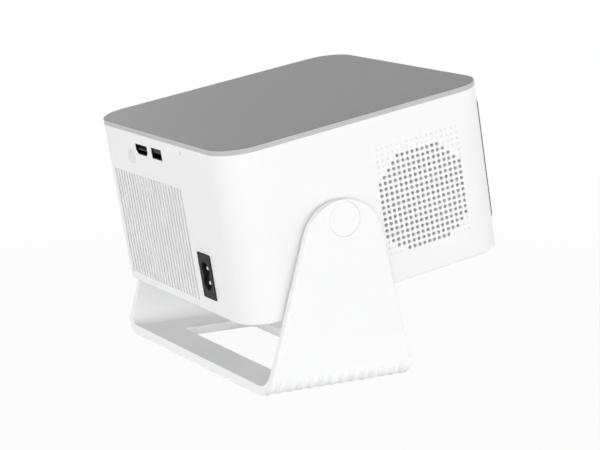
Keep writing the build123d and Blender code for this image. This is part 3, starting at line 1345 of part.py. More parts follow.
def main_board():
    """The main board on the engine's lid, with its sockets at the rear edge."""
    half = BOARD_WIDTH / 2
    board = block(-half, half, BOARD_FRONT, BOARD_REAR, BOARD_BOTTOM, BOARD_TOP)
    for x, y in pillar_places():
        board -= rod_z(SCREW_RADIUS + FIT_GAP, BOARD_BOTTOM, BOARD_TOP, x, y)
    return board


def processor_y():
    """The processor's place along the board."""
    return (BOARD_FRONT + BOARD_REAR) / 2


def processor():
    """The main chip."""
    half = PROCESSOR_SIZE / 2
    y = processor_y()
    return block(-half, half, y - half, y + half, BOARD_TOP, BOARD_TOP + PROCESSOR_HEIGHT)


def chip_heat_sink():
    """The small finned heat sink on the main chip."""
    half = CHIP_SINK_SIZE / 2
    y = processor_y()
    low = BOARD_TOP + PROCESSOR_HEIGHT
    base = low + CHIP_SINK_BASE
    sink = block(-half, half, y - half, y + half, low, base)
    step = (CHIP_SINK_SIZE - CHIP_SINK_FIN_THICKNESS) / (CHIP_SINK_FINS - 1)
    for index in range(CHIP_SINK_FINS):
        x = -half + index * step
        sink += block(x, x + CHIP_SINK_FIN_THICKNESS, y - half, y + half, base, low + CHIP_SINK_HEIGHT)
    return sink


def hdmi_port():
    """The display socket's metal shell, open to the rear."""
    width = DISPLAY_CUT_WIDTH - 2 * SOCKET_GAP
    outer = display_outline(width, DISPLAY_HEIGHT)
    inner = display_outline(width - 2 * SOCKET_SKIN, DISPLAY_HEIGHT - 2 * SOCKET_SKIN)
    inside = SOCKET_MOUTH - SOCKET_DEPTH
    shell = plate_y(outer, inside, SOCKET_MOUTH, DISPLAY_X, DISPLAY_Z)
    return shell - plate_y(inner, inside, SOCKET_MOUTH, DISPLAY_X, DISPLAY_Z)


def usb_port():
    """The data socket's metal shell, open to the rear."""
    width = DATA_CUT_WIDTH - 2 * SOCKET_GAP
    outer = Rectangle(width, DATA_HEIGHT)
    inner = Rectangle(width - 2 * SOCKET_SKIN, DATA_HEIGHT - 2 * SOCKET_SKIN)
    inside = SOCKET_MOUTH - SOCKET_DEPTH
    return plate_y(outer - inner, inside, SOCKET_MOUTH, DATA_X, DATA_Z)


def port_tongues():
    """The contact tongues of the two sockets, each on a block that closes its shell's inner end."""
    inside = SOCKET_MOUTH - SOCKET_DEPTH
    skin = SOCKET_SKIN + FIT_GAP
    display_width = DISPLAY_CUT_WIDTH - 2 * (SOCKET_GAP + skin)
    plug = display_outline(display_width, DISPLAY_HEIGHT - 2 * skin)
    display = plate_y(plug, inside, inside + TONGUE_BACK, DISPLAY_X, DISPLAY_Z)
    tongue = Rectangle(DISPLAY_TONGUE_WIDTH, DISPLAY_TONGUE_THICKNESS)
    tip = SOCKET_MOUTH - TONGUE_SETBACK
    display += plate_y(tongue, inside, tip, DISPLAY_X, DISPLAY_Z)
    plug = Rectangle(DATA_CUT_WIDTH - 2 * (SOCKET_GAP + skin), DATA_HEIGHT - 2 * skin)
    data = plate_y(plug, inside, inside + TONGUE_BACK, DATA_X, DATA_Z)
    tongue = Rectangle(DATA_TONGUE_WIDTH, DATA_TONGUE_THICKNESS)
    data += plate_y(tongue, inside, tip, DATA_X, DATA_Z + DATA_TONGUE_RISE)
    return [display, data]


def power_key():
    """The round key in the rear wall, with its flange and stem on the inside."""
    flange_rear = INNER_REAR - FIT_GAP
    flange_front = flange_rear - KEY_FLANGE_THICKNESS
    key = rod_y(KEY_RADIUS, flange_front, REAR_Y + KEY_PROUD, KEY_X, KEY_Z)
    key = fillet(key.edges().group_by(Axis.Y)[-1], KEY_EDGE_ROUND)
    key += rod_y(KEY_FLANGE_RADIUS, flange_front, flange_rear, KEY_X, KEY_Z)
    return key + rod_y(KEY_STEM_RADIUS, key_stem_end(), flange_front, KEY_X, KEY_Z)


def key_stem_end():
    """The inner end of the key's stem at rest."""
    return INNER_REAR - FIT_GAP - KEY_FLANGE_THICKNESS - KEY_STEM_LENGTH


def key_switch():
    """The switch under the main board's edge, whose plunger the key's stem reaches."""
    plunger_end = key_stem_end() - KEY_TRAVEL - PIVOT_PLAY
    body_rear = plunger_end - PLUNGER_LENGTH
    half = SWITCH_SIZE / 2
    body = block(
        KEY_X - half,
        KEY_X + half,
        body_rear - SWITCH_DEPTH,
        body_rear,
        BOARD_BOTTOM - SWITCH_SIZE,
        BOARD_BOTTOM,
    )
    plunger_z = min(KEY_Z, BOARD_BOTTOM - PLUNGER_RADIUS - COVER_GAP)
    return body + rod_y(PLUNGER_RADIUS, body_rear, plunger_end, KEY_X, plunger_z)


def lamp_chip():
    """The status lamp's chip on the board."""
    half = LAMP_LEG_DEPTH / 2
    rear = BOARD_REAR - CUT_MARGIN
    return block(
        LAMP_X - half, LAMP_X + half, rear - LAMP_LEG_DEPTH, rear, BOARD_TOP, BOARD_TOP + LAMP_CHIP_HEIGHT
    )


def light_pipe():
    """The clear bent bar that takes the status lamp's light to the rear face."""
    half_width = LAMP_WIDTH / 2
    rear = BOARD_REAR - CUT_MARGIN
    leg_front = rear - LAMP_LEG_DEPTH
    low = LAMP_Z - LAMP_HEIGHT / 2
    high = LAMP_Z + LAMP_HEIGHT / 2
    pipe = block(LAMP_X - half_width, LAMP_X + half_width, leg_front, REAR_Y, low, high)
    chip_top = BOARD_TOP + LAMP_CHIP_HEIGHT
    return pipe + block(LAMP_X - half_width, LAMP_X + half_width, leg_front, rear, chip_top, high)


# Power supply


def inlet_outline():
    """The figure of eight that the mains lead's plug fills."""
    circles = [Pos(0, z) * Circle(INLET_RECESS_RADIUS) for z in (-INLET_RECESS_SPREAD, INLET_RECESS_SPREAD)]
    return Rectangle(INLET_WAIST, 2 * INLET_RECESS_SPREAD) + circles


def inlet_pin_heights():
    """The heights of the two inlet pins."""
    return [INLET_Z - INLET_PIN_SPACING / 2, INLET_Z + INLET_PIN_SPACING / 2]


def inlet_levels():
    """Outer face, floor of the recess and inner end of the inlet."""
    face = REAR_Y + INLET_FLANGE_PROUD
    return face, face - INLET_RECESS_DEPTH, REAR_Y - INLET_BODY_DEPTH


def ac_inlet():
    """The dark inlet: a flange on the rear face and a body with a figure-of-eight recess."""
    face, floor, inner_end = inlet_levels()
    flange = RectangleRounded(INLET_WIDTH, INLET_HEIGHT, INLET_FLANGE_CORNER)
    body = Rectangle(INLET_WIDTH - INLET_RIM - 2 * COVER_GAP, INLET_HEIGHT - INLET_RIM - 2 * COVER_GAP)
    inlet = plate_y(flange, REAR_Y, face, INLET_X, INLET_Z)
    inlet += plate_y(body, inner_end, face, INLET_X, INLET_Z)
    inlet -= plate_y(inlet_outline(), floor, face, INLET_X, INLET_Z)
    for z in inlet_pin_heights():
        inlet -= rod_y(INLET_PIN_RADIUS + FIT_GAP, inner_end, face, INLET_X, z)
    return inlet


def inlet_pins():
    """The two round contact pins."""
    face, _, inner_end = inlet_levels()
    pins = []
    for z in inlet_pin_heights():
        pin = rod_y(INLET_PIN_RADIUS, inner_end - INLET_PIN_TAIL, face - INLET_PIN_SETBACK, INLET_X, z)
        tip = pin.edges().group_by(Axis.Y)[-1]
        pins.append(fillet(tip, INLET_PIN_RADIUS / 2))
    return pins


def inlet_leads():
    """The two short leads from the inlet's pins down to the supply board."""
    start = inlet_levels()[2] - INLET_PIN_TAIL
    leads = []
    for index, z in enumerate(inlet_pin_heights()):
        end_x = SUPPLY_RIGHT - (index + 1) * LEAD_STEP
        points = [
            (INLET_X, start, z),
            (INLET_X, start - LEAD_REACH, z),
            (end_x, start - LEAD_REACH, z),
            (end_x, start - LEAD_REACH, SUPPLY_TOP),
        ]
        path = FilletPolyline(*points, radius=LEAD_BEND)
        section = Plane(path @ 0, z_dir=path % 0) * Circle(LEAD_RADIUS)
        lead = sweep(section, path)
        expected = pi * LEAD_RADIUS**2 * path.length
        sizes = ("volume", round(lead.volume, 2), "expected", round(expected, 2))
        print("lead", index, *sizes, "bend", LEAD_BEND)
        leads.append(lead)
    return leads


def supply_board():
    """The power supply's board on its posts."""
    board = block(SUPPLY_LEFT, SUPPLY_RIGHT, SUPPLY_FRONT, SUPPLY_REAR, SUPPLY_BOTTOM, SUPPLY_TOP)
    for x, y in supply_post_places():
        board -= rod_z(SCREW_RADIUS + FIT_GAP, SUPPLY_BOTTOM, SUPPLY_TOP, x, y)
    return board


def supply_middle():
    """The middle of the supply board, as X and Y."""
    return (SUPPLY_LEFT + SUPPLY_RIGHT) / 2, (SUPPLY_FRONT + SUPPLY_REAR) / 2


def transformer():
    """The transformer: a squared core with a round winding through it."""
    x, y = supply_middle()
    half_width = TRANSFORMER_WIDTH / 2
    half_length = TRANSFORMER_LENGTH / 2
    top = SUPPLY_TOP + TRANSFORMER_HEIGHT
    core = block(x - half_width, x + half_width, y - half_length, y + half_length, SUPPLY_TOP, top)
    half = WINDING_LENGTH / 2
    return core + rod_x(WINDING_RADIUS, x - half, x + half, y, SUPPLY_TOP + TRANSFORMER_HEIGHT / 2)


def capacitors():
    """Two standing capacitors in front of the transformer."""
    x, y = supply_middle()
    y -= TRANSFORMER_LENGTH / 2 + CAPACITOR_SPACING / 2 + CUT_MARGIN
    cans = []
    for index, (radius, height) in enumerate(zip(CAPACITOR_RADII, CAPACITOR_HEIGHTS)):
        offset = (index - 0.5) * CAPACITOR_SPACING
        can = rod_z(radius, SUPPLY_TOP, SUPPLY_TOP + height, x + offset, y)
        cans.append(fillet(can.edges().group_by(Axis.Z)[-1], CAPACITOR_EDGE_ROUND))
    return cans


def inner_screws():
    """The small screws of the boards, the lens mount and the focus motor, all alike."""
    one = screw(SCREW_RADIUS, SCREW_LENGTH, SCREW_HEAD_RADIUS, SCREW_HEAD_HEIGHT)
    facing_front = Rot(90, 0, 0) * one
    screws = [Pos(x, y, BOARD_TOP) * one for x, y in pillar_places()]
    screws += [Pos(x, y, SUPPLY_TOP) * one for x, y in supply_post_places()]
    mount_face = ENGINE_FRONT - MOUNT_FLANGE_THICKNESS
    screws += [Pos(x, mount_face, z) * facing_front for x, z in mount_screw_places()]
    motor_face = ENGINE_FRONT - MOTOR_FLANGE_THICKNESS
    screws += [Pos(x, motor_face, z) * facing_front for x, z in motor_screw_places()]
    return screws


# Everything by name: the stand's pieces stay where they are drawn, the head's pieces are leaned back

STAND = {
    "stand_bracket": stand_bracket(),
    "base_pad": base_pad(),
    "pivot_caps": on_both_sides(pivot_cap),
    "pivot_bushes": on_both_sides(pivot_bush),
    "friction_washers": on_both_sides(friction_washer),
}
HEAD = {
    "pivot_pins": on_both_sides(pivot_pin),
    "pivot_plates": on_both_sides(pivot_plate),
    "main_shell": main_shell(),
    "top_cover": top_cover(),
    "bottom_cover": bottom_cover(),
    "case_screws": case_screws(),
    "front_panel": front_panel(),
    "lens_bezel": lens_bezel(),
    "focus_camera": focus_camera(),
    "engine_housing": engine_housing(),
    "engine_lid": engine_lid(),
    "panel_ribbon": panel_ribbon(),
    "condenser_lens": condenser_lens(),
    "lamp_module": lamp_module(),
    "heat_sink": heat_sink(),
    "lens_mount": lens_mount(),
    "focus_clip": focus_clip(),
    "focus_ring": focus_ring(),
    "focus_pinion": focus_pinion(),
    "focus_motor": focus_motor(),
    "lens_barrel": lens_barrel(),
    "guide_pins": guide_pins(),
    "front_lens": front_lens(),
    "rear_lens": rear_lens(),
    "lens_retainers": lens_retainers(),
    "fan_frame": fan_frame(),
    "fan_rotor": fan_rotor(),
    "fan_gasket": fan_gasket(),
    "main_board": main_board(),
    "processor": processor(),
    "chip_heat_sink": chip_heat_sink(),
    "hdmi_port": hdmi_port(),
    "usb_port": usb_port(),
    "port_tongues": port_tongues(),
    "power_key": power_key(),
    "key_switch": key_switch(),
    "lamp_chip": lamp_chip(),
    "light_pipe": light_pipe(),
    "ac_inlet": ac_inlet(),
    "inlet_pins": inlet_pins(),
    "inlet_leads": inlet_leads(),
    "supply_board": supply_board(),
    "transformer": transformer(),
    "capacitors": capacitors(),
    "inner_screws": inner_screws(),
}
for pane_name in pane_places():
    HEAD[pane_name] = pane(pane_name)
for side_name, side_sign in SIDES.items():
    HEAD["speaker_frame_" + side_name] = speaker_frame(side_sign)
    HEAD["speaker_cone_" + side_name] = speaker_cone(side_sign)
    HEAD["speaker_magnet_" + side_name] = speaker_magnet(side_sign)

LEAN = Pos(0, 0, PIVOT_HEIGHT) * Rot(-REST_TILT, 0, 0)


def as_one(shape):
    """One shape for a node, with a group of like pieces as a compound of separate solids."""
    if isinstance(shape, list):
        return Compound([solid for item in shape for solid in item.solids()])
    return shape


os.makedirs("parts", exist_ok=True)
for node, shape in STAND.items():
    export_step(as_one(shape), os.path.join("parts", node + ".step"))
for node, shape in HEAD.items():
    export_step(LEAN * as_one(shape), os.path.join("parts", node + ".step"))
print(len(STAND) + len(HEAD), "nodes")
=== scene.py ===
# %% [markdown]
# # A home projector on its tilting stand
# The shapes of this projector were drawn as solids and packed into one model, in metres, with each
# piece under its own name. This lesson gives every piece its finish, sets a camera where the
# photographer stood, and lights the scene like a small product studio. We load the packed model first,
# because every later step refers to its pieces by name.

# %% Load the packed model
import math

import bpy
from mathutils import Matrix, Vector

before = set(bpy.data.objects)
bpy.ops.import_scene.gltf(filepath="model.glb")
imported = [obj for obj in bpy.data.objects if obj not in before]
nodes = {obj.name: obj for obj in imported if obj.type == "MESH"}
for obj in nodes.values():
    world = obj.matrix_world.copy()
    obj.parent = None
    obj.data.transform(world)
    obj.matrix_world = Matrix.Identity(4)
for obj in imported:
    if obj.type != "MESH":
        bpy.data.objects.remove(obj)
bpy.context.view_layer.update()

# %% [markdown]
# ## Where the head sits
# The head hangs on a tilt axis and leans back a little. Several finishes follow the head's own
# directions, such as the circular marks around the lens, so we note the axis and the lean once and hand
# them to the node trees below. Working in the head's own directions is simpler than turning every
# pattern by hand.

# %% The tilt axis and the lean
TILT_AXIS = Vector((0.0, 0.0, 0.0942))
LEAN = math.radians(9.7)
print("lean of", round(math.degrees(LEAN), 1), "degrees about the height", round(TILT_AXIS.z, 4))

# %% [markdown]
# ## Shader maths that reads like Python
# A finish is a small node tree. Wiring Math nodes one by one is hard to read, so a Wire stands for one
# output socket and lets us write `0.4 + 0.1 * grain`. Each operator adds one Math node. Everything that
# isn't arithmetic goes through a single method, `node`, which takes the node's type, its settings and
# its inputs.

# %% Wires
class Wire:
    """One output socket of a finish; arithmetic on wires adds Math nodes."""

    def __init__(self, finish, socket):
        self.finish = finish
        self.socket = socket

    def math(self, operation, *values):
        return self.finish.node("ShaderNodeMath", {"operation": operation}, dict(enumerate(values)))

    def __add__(self, other):
        return self.math("ADD", self, other)

    def __radd__(self, other):
        return self.math("ADD", other, self)

    def __sub__(self, other):
        return self.math("SUBTRACT", self, other)

    def __rsub__(self, other):
        return self.math("SUBTRACT", other, self)

    def __mul__(self, other):
        return self.math("MULTIPLY", self, other)

    def __rmul__(self, other):
        return self.math("MULTIPLY", other, self)

    def __truediv__(self, other):
        return self.math("DIVIDE", self, other)

    def __rtruediv__(self, other):
        return self.math("DIVIDE", other, self)

    def __abs__(self):
        return self.math("ABSOLUTE", self)

    def under(self, limit):
        """1 where the wire is below a limit, and 0 elsewhere."""
        return self.math("LESS_THAN", self, limit)

    def least(self, other):
        """The smaller of two values."""
        return self.math("MINIMUM", self, other)

    def root(self):
        """The square root of the wire."""
        return self.math("SQRT", self)

    def ripple(self, pitch):
        """A sine, from -1 to 1, that comes round once in each pitch."""
        return self.math("SINE", self * (2 * math.pi / pitch))


print("a wire also knows", ", ".join(name for name in vars(Wire) if not name.startswith("_")))

# %% [markdown]
# ## Colours
# A colour socket takes four numbers: red, green, blue and an alpha of 1. Many of the colours here are
# plain greys, which one number can give, and a finish may need a colour and a slightly darker one.

# %% Paint
def paint(colour):
    """A colour socket's value from three numbers, from one grey level or from a wire."""
    if isinstance(colour, Wire):
        return colour
    if isinstance(colour, (int, float)):
        colour = (colour, colour, colour)
    return (*colour, 1.0)


def shaded(colour, share):
    """A colour made darker by a share below 1."""
    return tuple(share * part for part in colour)


WHITE = paint(1.0)
print("white is", WHITE)

# %% [markdown]
# ## A finish and its patterns
# Every finish starts as a Principled shader, and a few patterns come back in many of them: soft clouds,
# random cells, stretched grain, a blend of two colours and a bump. Each becomes a method, so that a
# finish below reads as a short recipe.

# %% Finishes
class Finish:
    """A material, or a world, with one shader and the nodes that feed it."""

    def __init__(self, name, family=bpy.data.materials, shader="Principled BSDF", end="Material Output"):
        self.owner = family.new(name)
        self.owner.use_nodes = True
        self.tree = self.owner.node_tree
        self.shader = self.tree.nodes[shader]
        self.end = self.tree.nodes[end].inputs["Surface"]

    def node(self, kind, settings=None, inputs=None, output=0):
        """Adds a node, makes its settings first and then fills or links its inputs."""
        made = self.tree.nodes.new(kind)
        for key, value in (settings or {}).items():
            setattr(made, key, value)
        for key, value in (inputs or {}).items():
            self.feed(made.inputs[key], value)
        return Wire(self, made.outputs[output])

    def feed(self, socket, value):
        """Links a wire to a socket, or sets the socket to a plain value."""
        if isinstance(value, Wire):
            self.tree.links.new(value.socket, socket)
        else:
            socket.default_value = value

    def shade(self, **sockets):
        """Sets the shader's own sockets, named in lower case with _ for a space."""
        for socket in self.shader.inputs:
            key = socket.name.lower().replace(" ", "_")
            if key in sockets:
                self.feed(socket, sockets.pop(key))
        if sockets:
            raise KeyError("the shader has no socket for " + ", ".join(sockets))
        return self.owner

    def own(self):
        """The shader itself, as a wire."""
        return Wire(self, self.shader.outputs[0])

    def place(self):
        """A point of the piece at rest, in metres."""
        return self.node("ShaderNodeTexCoord", output="Object")

    def head_place(self):
        """A point of the head as if the head stood level, measured from the tilt axis."""
        return self.node(
            "ShaderNodeMapping",
            {"vector_type": "TEXTURE"},
            {"Vector": self.place(), "Location": TILT_AXIS, "Rotation": (-LEAN, 0.0, 0.0)},
        )

    def parts(self, vector):
        """The three coordinates of a vector as wires."""
        split = self.node("ShaderNodeSeparateXYZ", inputs={"Vector": vector}).socket.node
        return [Wire(self, output) for output in split.outputs]

    def stretched(self, vector, scale):
        """A vector drawn out along its axes, for grain that has a direction."""
        return self.node("ShaderNodeMapping", inputs={"Vector": vector, "Scale": scale})

    def noise(self, vector, scale, detail=2.0):
        """Soft random marks; a scale of 1000 gives marks of about a millimetre."""
        return self.node("ShaderNodeTexNoise", inputs={"Vector": vector, "Scale": scale, "Detail": detail})

    def cells(self, vector, scale, feature="F1", randomness=1.0):
        """Random cells, such as pressed grain or fibres: the distance from a cell's middle or edge."""
        inputs = {"Vector": vector, "Scale": scale, "Randomness": randomness}
        return self.node("ShaderNodeTexVoronoi", {"feature": feature}, inputs)

    def blend(self, share, first, second):
        """A colour between two, by a share from 0 to 1."""
        inputs = {0: share, 6: paint(first), 7: paint(second)}
        return self.node("ShaderNodeMix", {"data_type": "RGBA"}, inputs, output=2)

    def bump(self, height, depth, strength=1.0):
        """A surface raised by a height from 0 to 1, at a depth in metres."""
        inputs = {"Height": height, "Distance": depth, "Strength": strength}
        return self.node("ShaderNodeBump", inputs=inputs)


def dress(material, *names):
    """Gives pieces their finish in place of the plain one they came with."""
    for name in names:
        mesh = nodes[name].data
        mesh.materials.clear()
        mesh.materials.append(material)
    print(material.name, "on", ", ".join(names))


print("a finish knows", ", ".join(name for name in vars(Finish) if not name.startswith("_")))

# %% [markdown]
# ## White satin mouldings
# The shell, the stand and the pivot caps are injection-moulded in white. A mould polished to a satin
# leaves a very fine, even grain that only shows as a soft highlight. A flat colour would look like
# paper, so a broad cloud shifts the white by a hair, and a fine grain moves the roughness and lifts the
# surface by about a hundredth of a millimetre.

# %% White moulding
FINE_GRAIN = 3200.0
FINE_DEPTH = 0.000012
HEAD_WHITE = (0.9, 0.9, 0.903)
STAND_WHITE = (0.915, 0.917, 0.922)


def white_moulding(name, white, roughness):
    finish = Finish(name)
    place = finish.place()
    cloud = finish.noise(place, scale=22.0, detail=3.0)
    grain = finish.noise(place, scale=FINE_GRAIN)
    return finish.shade(
        base_color=finish.blend(cloud, shaded(white, 0.97), white),
        roughness=roughness - 0.05 + 0.1 * grain,
        normal=finish.bump(grain, depth=FINE_DEPTH),
        specular_ior_level=0.45,
        coat_weight=0.06,
        coat_roughness=0.25,
    )


dress(white_moulding("white_shell", HEAD_WHITE, roughness=0.42), "main_shell", "bottom_cover")
dress(white_moulding("white_stand", STAND_WHITE, roughness=0.4), "stand_bracket", "pivot_caps")

# %% [markdown]
# ## The power key
# The round key is moulded in white too, a shade darker than the shell, and carries one fine grey stroke
# near its upper rim. The stroke is a mark on a flat face, so it needs no geometry: we measure how far a
# point lies from the stroke's middle in the head's own directions, and darken the points inside it.

# %% Power key
KEY_X = 0.0353
KEY_Z = 0.0339
STROKE_RISE = 0.0028
STROKE_HALF_WIDTH = 0.00035
STROKE_HALF_LENGTH = 0.0011
KEY_WHITE = (0.77, 0.77, 0.775)
STROKE_GREY = 0.45


def key_white():
    finish = Finish("white_key")
    x, _, z = finish.parts(finish.head_place())
    across = abs(x - KEY_X)
    along = abs(z - (KEY_Z + STROKE_RISE))
    stroke = across.under(STROKE_HALF_WIDTH) * along.under(STROKE_HALF_LENGTH)
    grain = finish.noise(finish.place(), scale=FINE_GRAIN)
    return finish.shade(
        base_color=finish.blend(stroke, KEY_WHITE, STROKE_GREY),
        roughness=0.4 + 0.08 * grain,
        normal=finish.bump(grain, depth=FINE_DEPTH),
        coat_weight=0.05,
    )


dress(key_white(), "power_key")

# %% [markdown]
# ## The grey top
# The top cover is a lacquered grey with a fine metallic flake, and its rounded edge is a paler silver:
# partly a paler edge, and partly a painted sheen where the rounded edge catches the light. Flakes are
# small cells with their own brightness. We mix two greys by them, make the paint slightly metallic, and
# let the flakes vary the roughness, so that the plate glitters a little when it turns. The height above
# the tilt axis, in the head's own directions, tells the flat top from its rim.

# %% Grey lacquer
RIM_HEIGHT = 0.0511
# The rim's paler silver is partly the edge's own paler tone and partly a painted sheen where the rounded
# edge catches the light.
RIM_SILVER_AND_SHEEN = (0.52, 0.52, 0.525)
LACQUER_DARK = (0.25, 0.25, 0.252)
LACQUER_PALE = (0.286, 0.286, 0.289)


def grey_lacquer():
    finish = Finish("grey_lacquer")
    place = finish.place()
    flake = finish.cells(place, scale=2600.0)
    cloud = finish.noise(place, scale=14.0)
    lacquer = finish.blend(0.55 * cloud + 0.35 * flake, LACQUER_DARK, LACQUER_PALE)
    height = finish.parts(finish.head_place())[2]
    return finish.shade(
        # Below the rim height the rim colour takes over, and with it the painted sheen of the rounded
        # edge.
        base_color=finish.blend(height.under(RIM_HEIGHT), lacquer, RIM_SILVER_AND_SHEEN),
        metallic=0.1,
        roughness=0.4 + 0.1 * flake,
        normal=finish.bump(flake, depth=0.00001),
        specular_ior_level=0.35,
        coat_weight=0.05,
        coat_roughness=0.3,
    )


dress(grey_lacquer(), "top_cover")

# %% [markdown]
# ## The glossy black front
# The front panel is a polished black plate. Real polish is never perfect: there is a slight waviness
# from moulding and a film of wiping marks. Both are too faint to paint as colour, so the waviness goes
# into the bump and the film mostly into the roughness.

# %% Black gloss
def black_gloss():
    finish = Finish("black_gloss")
    place = finish.place()
    film = finish.noise(finish.stretched(place, (1.0, 1.0, 3.0)), scale=60.0, detail=4.0)
    waviness = finish.noise(place, scale=45.0, detail=1.0)
    return finish.shade(
        base_color=finish.blend(film, 0.008, 0.011),
        roughness=0.05 + 0.07 * film,
        normal=finish.bump(waviness, depth=0.00002, strength=0.4),
        coat_weight=0.5,
        coat_roughness=0.04,
    )


dress(black_gloss(), "front_panel")

# %% [markdown]
# ## Matt black mouldings
# The light engine, the fan and the speaker baskets are black with an eroded grain, so that they swallow
# stray light. The grain is a cell pattern, and it lifts the surface enough to break up every highlight.
# The mains inlet and the tongues in the sockets are blacker and shine less.

# %% Black moulding
def black_moulding(name, black, grain_scale, shine=0.5):
    finish = Finish(name)
    place = finish.place()
    grain = finish.cells(place, grain_scale)
    cloud = finish.noise(place, scale=70.0, detail=3.0)
    return finish.shade(
        base_color=finish.blend(cloud, 0.75 * black, 1.25 * black),
        roughness=0.5 + 0.16 * grain,
        normal=finish.bump(grain, depth=0.00003),
        specular_ior_level=shine,
    )


dress(
    black_moulding("black_moulding", 0.018, grain_scale=2200.0),
    "engine_housing", "engine_lid", "fan_frame", "fan_rotor", "speaker_frame_left", "speaker_frame_right",
    "focus_camera", "key_switch", "processor", "focus_motor",
)
dress(black_moulding("inlet_moulding", 0.012, grain_scale=1800.0, shine=0.25), "ac_inlet")
dress(black_moulding("tongue_moulding", 0.022, grain_scale=2600.0, shine=0.3), "port_tongues")

# %% [markdown]
# ## Turned rings around the lens
# The bezel, the barrel and their retaining rings are turned about the lens axis, and fine grooves
# inside them stop reflections. Distance along the axis makes the grooves inside the barrel, and
# distance from the axis makes the turning marks on the faces. A sine of each distance gives an even
# series of grooves.

# %% Turned black
LENS_AXIS_HEIGHT = 0.00205


def around_lens(finish):
    """How far a point of the head lies from the lens axis, and its place along that axis."""
    x, y, z = finish.parts(finish.head_place())
    height = z - LENS_AXIS_HEIGHT
    return (x * x + height * height).root(), y


def turned_black(name, black, groove):
    finish = Finish(name)
    radius, along = around_lens(finish)
    grooves = 0.5 + 0.25 * along.ripple(groove) + 0.25 * radius.ripple(groove)
    return finish.shade(
        base_color=finish.blend(grooves, 0.7 * black, 1.3 * black),
        roughness=0.36 + 0.12 * grooves,
        normal=finish.bump(grooves, depth=0.00006),
    )


dress(turned_black("turned_bezel", 0.014, groove=0.0008), "lens_bezel", "lens_mount")
dress(turned_black("turned_barrel", 0.022, groove=0.0006), "lens_barrel", "lens_retainers")

# %% [markdown]
# ## Glass
# The projection lenses are coated glass, and the panes inside the engine are clear sheets. Clear glass
# is mostly transmission with a mirror-like surface. The coating shows as a faint tint, so the colour
# drifts very slightly from one side of the lens to the other.

# %% Lens glass
def lens_glass():
    finish = Finish("coated_glass")
    cloud = finish.noise(finish.place(), scale=30.0, detail=1.0)
    return finish.shade(
        base_color=finish.blend(cloud, (0.86, 0.91, 0.97), (0.93, 0.9, 0.97)),
        roughness=0.01 + 0.02 * cloud,
        transmission_weight=1.0,
        ior=1.52,
        coat_weight=0.3,
        coat_roughness=0.02,
    )


dress(lens_glass(), "front_lens", "rear_lens", "condenser_lens", "heat_glass")

# %% [markdown]
# ## Fresnel sheets and the display panel
# A Fresnel lens is a flat sheet with the concentric ridges of a thick lens, so its ridges are a ripple
# of the distance from the lens axis. The display panel is dark glass with a fine grid of picture points.
# Two ripples at right angles, multiplied, make that grid.

# %% Fresnel sheets and display glass
RIDGE_PITCH = 0.0005
GRID_PITCH = 0.0004


def fresnel_sheet():
    finish = Finish("fresnel_sheet")
    radius, _ = around_lens(finish)
    ridges = radius.ripple(RIDGE_PITCH)
    return finish.shade(
        base_color=finish.blend(0.5 + 0.5 * ridges, 0.9, 0.96),
        roughness=0.06 + 0.03 * ridges,
        normal=finish.bump(ridges, depth=0.00003),
        transmission_weight=0.9,
        ior=1.49,
    )


def display_glass():
    finish = Finish("display_glass")
    x, _, z = finish.parts(finish.head_place())
    grid = x.ripple(GRID_PITCH) * z.ripple(GRID_PITCH)
    return finish.shade(
        base_color=finish.blend(0.5 + 0.5 * grid, (0.05, 0.055, 0.07), (0.08, 0.08, 0.095)),
        roughness=0.08 + 0.02 * grid,
        coat_weight=0.6,
        coat_roughness=0.03,
    )


dress(fresnel_sheet(), "fresnel_front", "fresnel_rear")
dress(display_glass(), "lcd_panel")

# %% [markdown]
# ## Metals
# Steel pins, plates and screws are plated and carry fine drawn lines; the heat sinks are extruded, so
# their lines run along the fins. Lines are noise that is stretched twenty to thirty times along one
# axis. The sockets have a dark plated shell, which is why they look black in the rear face.

# %% Steel, aluminium and dark plate
def drawn_metal(name, colour, roughness, stretch):
    finish = Finish(name)
    place = finish.place()
    lines = finish.noise(finish.stretched(place, stretch), scale=900.0, detail=3.0)
    cloud = finish.noise(place, scale=90.0)
    return finish.shade(
        base_color=finish.blend(cloud, shaded(colour, 0.9), colour),
        metallic=1.0,
        roughness=roughness - 0.06 + 0.12 * lines,
        normal=finish.bump(lines, depth=0.00001),
    )


STEEL = (0.62, 0.61, 0.6)
NICKEL = (0.93, 0.92, 0.9)
DARK_PLATE = (0.012, 0.012, 0.013)
ALUMINIUM = (0.78, 0.79, 0.8)
dress(
    drawn_metal("plated_steel", STEEL, roughness=0.28, stretch=(0.04, 1.0, 1.0)),
    "pivot_pins", "pivot_plates", "case_screws", "inner_screws", "guide_pins", "focus_clip",
)
dress(drawn_metal("bright_pins", NICKEL, roughness=0.45, stretch=(1.0, 0.04, 1.0)), "inlet_pins")
dress(
    drawn_metal("dark_plate", DARK_PLATE, roughness=0.4, stretch=(1.0, 0.05, 1.0)),
    "hdmi_port", "usb_port",
)
dress(
    drawn_metal("extruded_aluminium", ALUMINIUM, roughness=0.34, stretch=(1.0, 1.0, 0.03)),
    "heat_sink", "chip_heat_sink", "lamp_module",
)

# %% [markdown]
# ## Circuit boards
# A board is glass fibre under green lacquer, with copper tracks that show as a paler green. The tracks
# divide the board into many small fields, so the edges of random cells, laid out flat, make a believable
# maze. The tracks stand a little above the board, so the same mask feeds the bump.

# %% Green lacquer over copper
TRACK_EDGE = 0.09
TRACK_GREEN = (0.04, 0.16, 0.07)


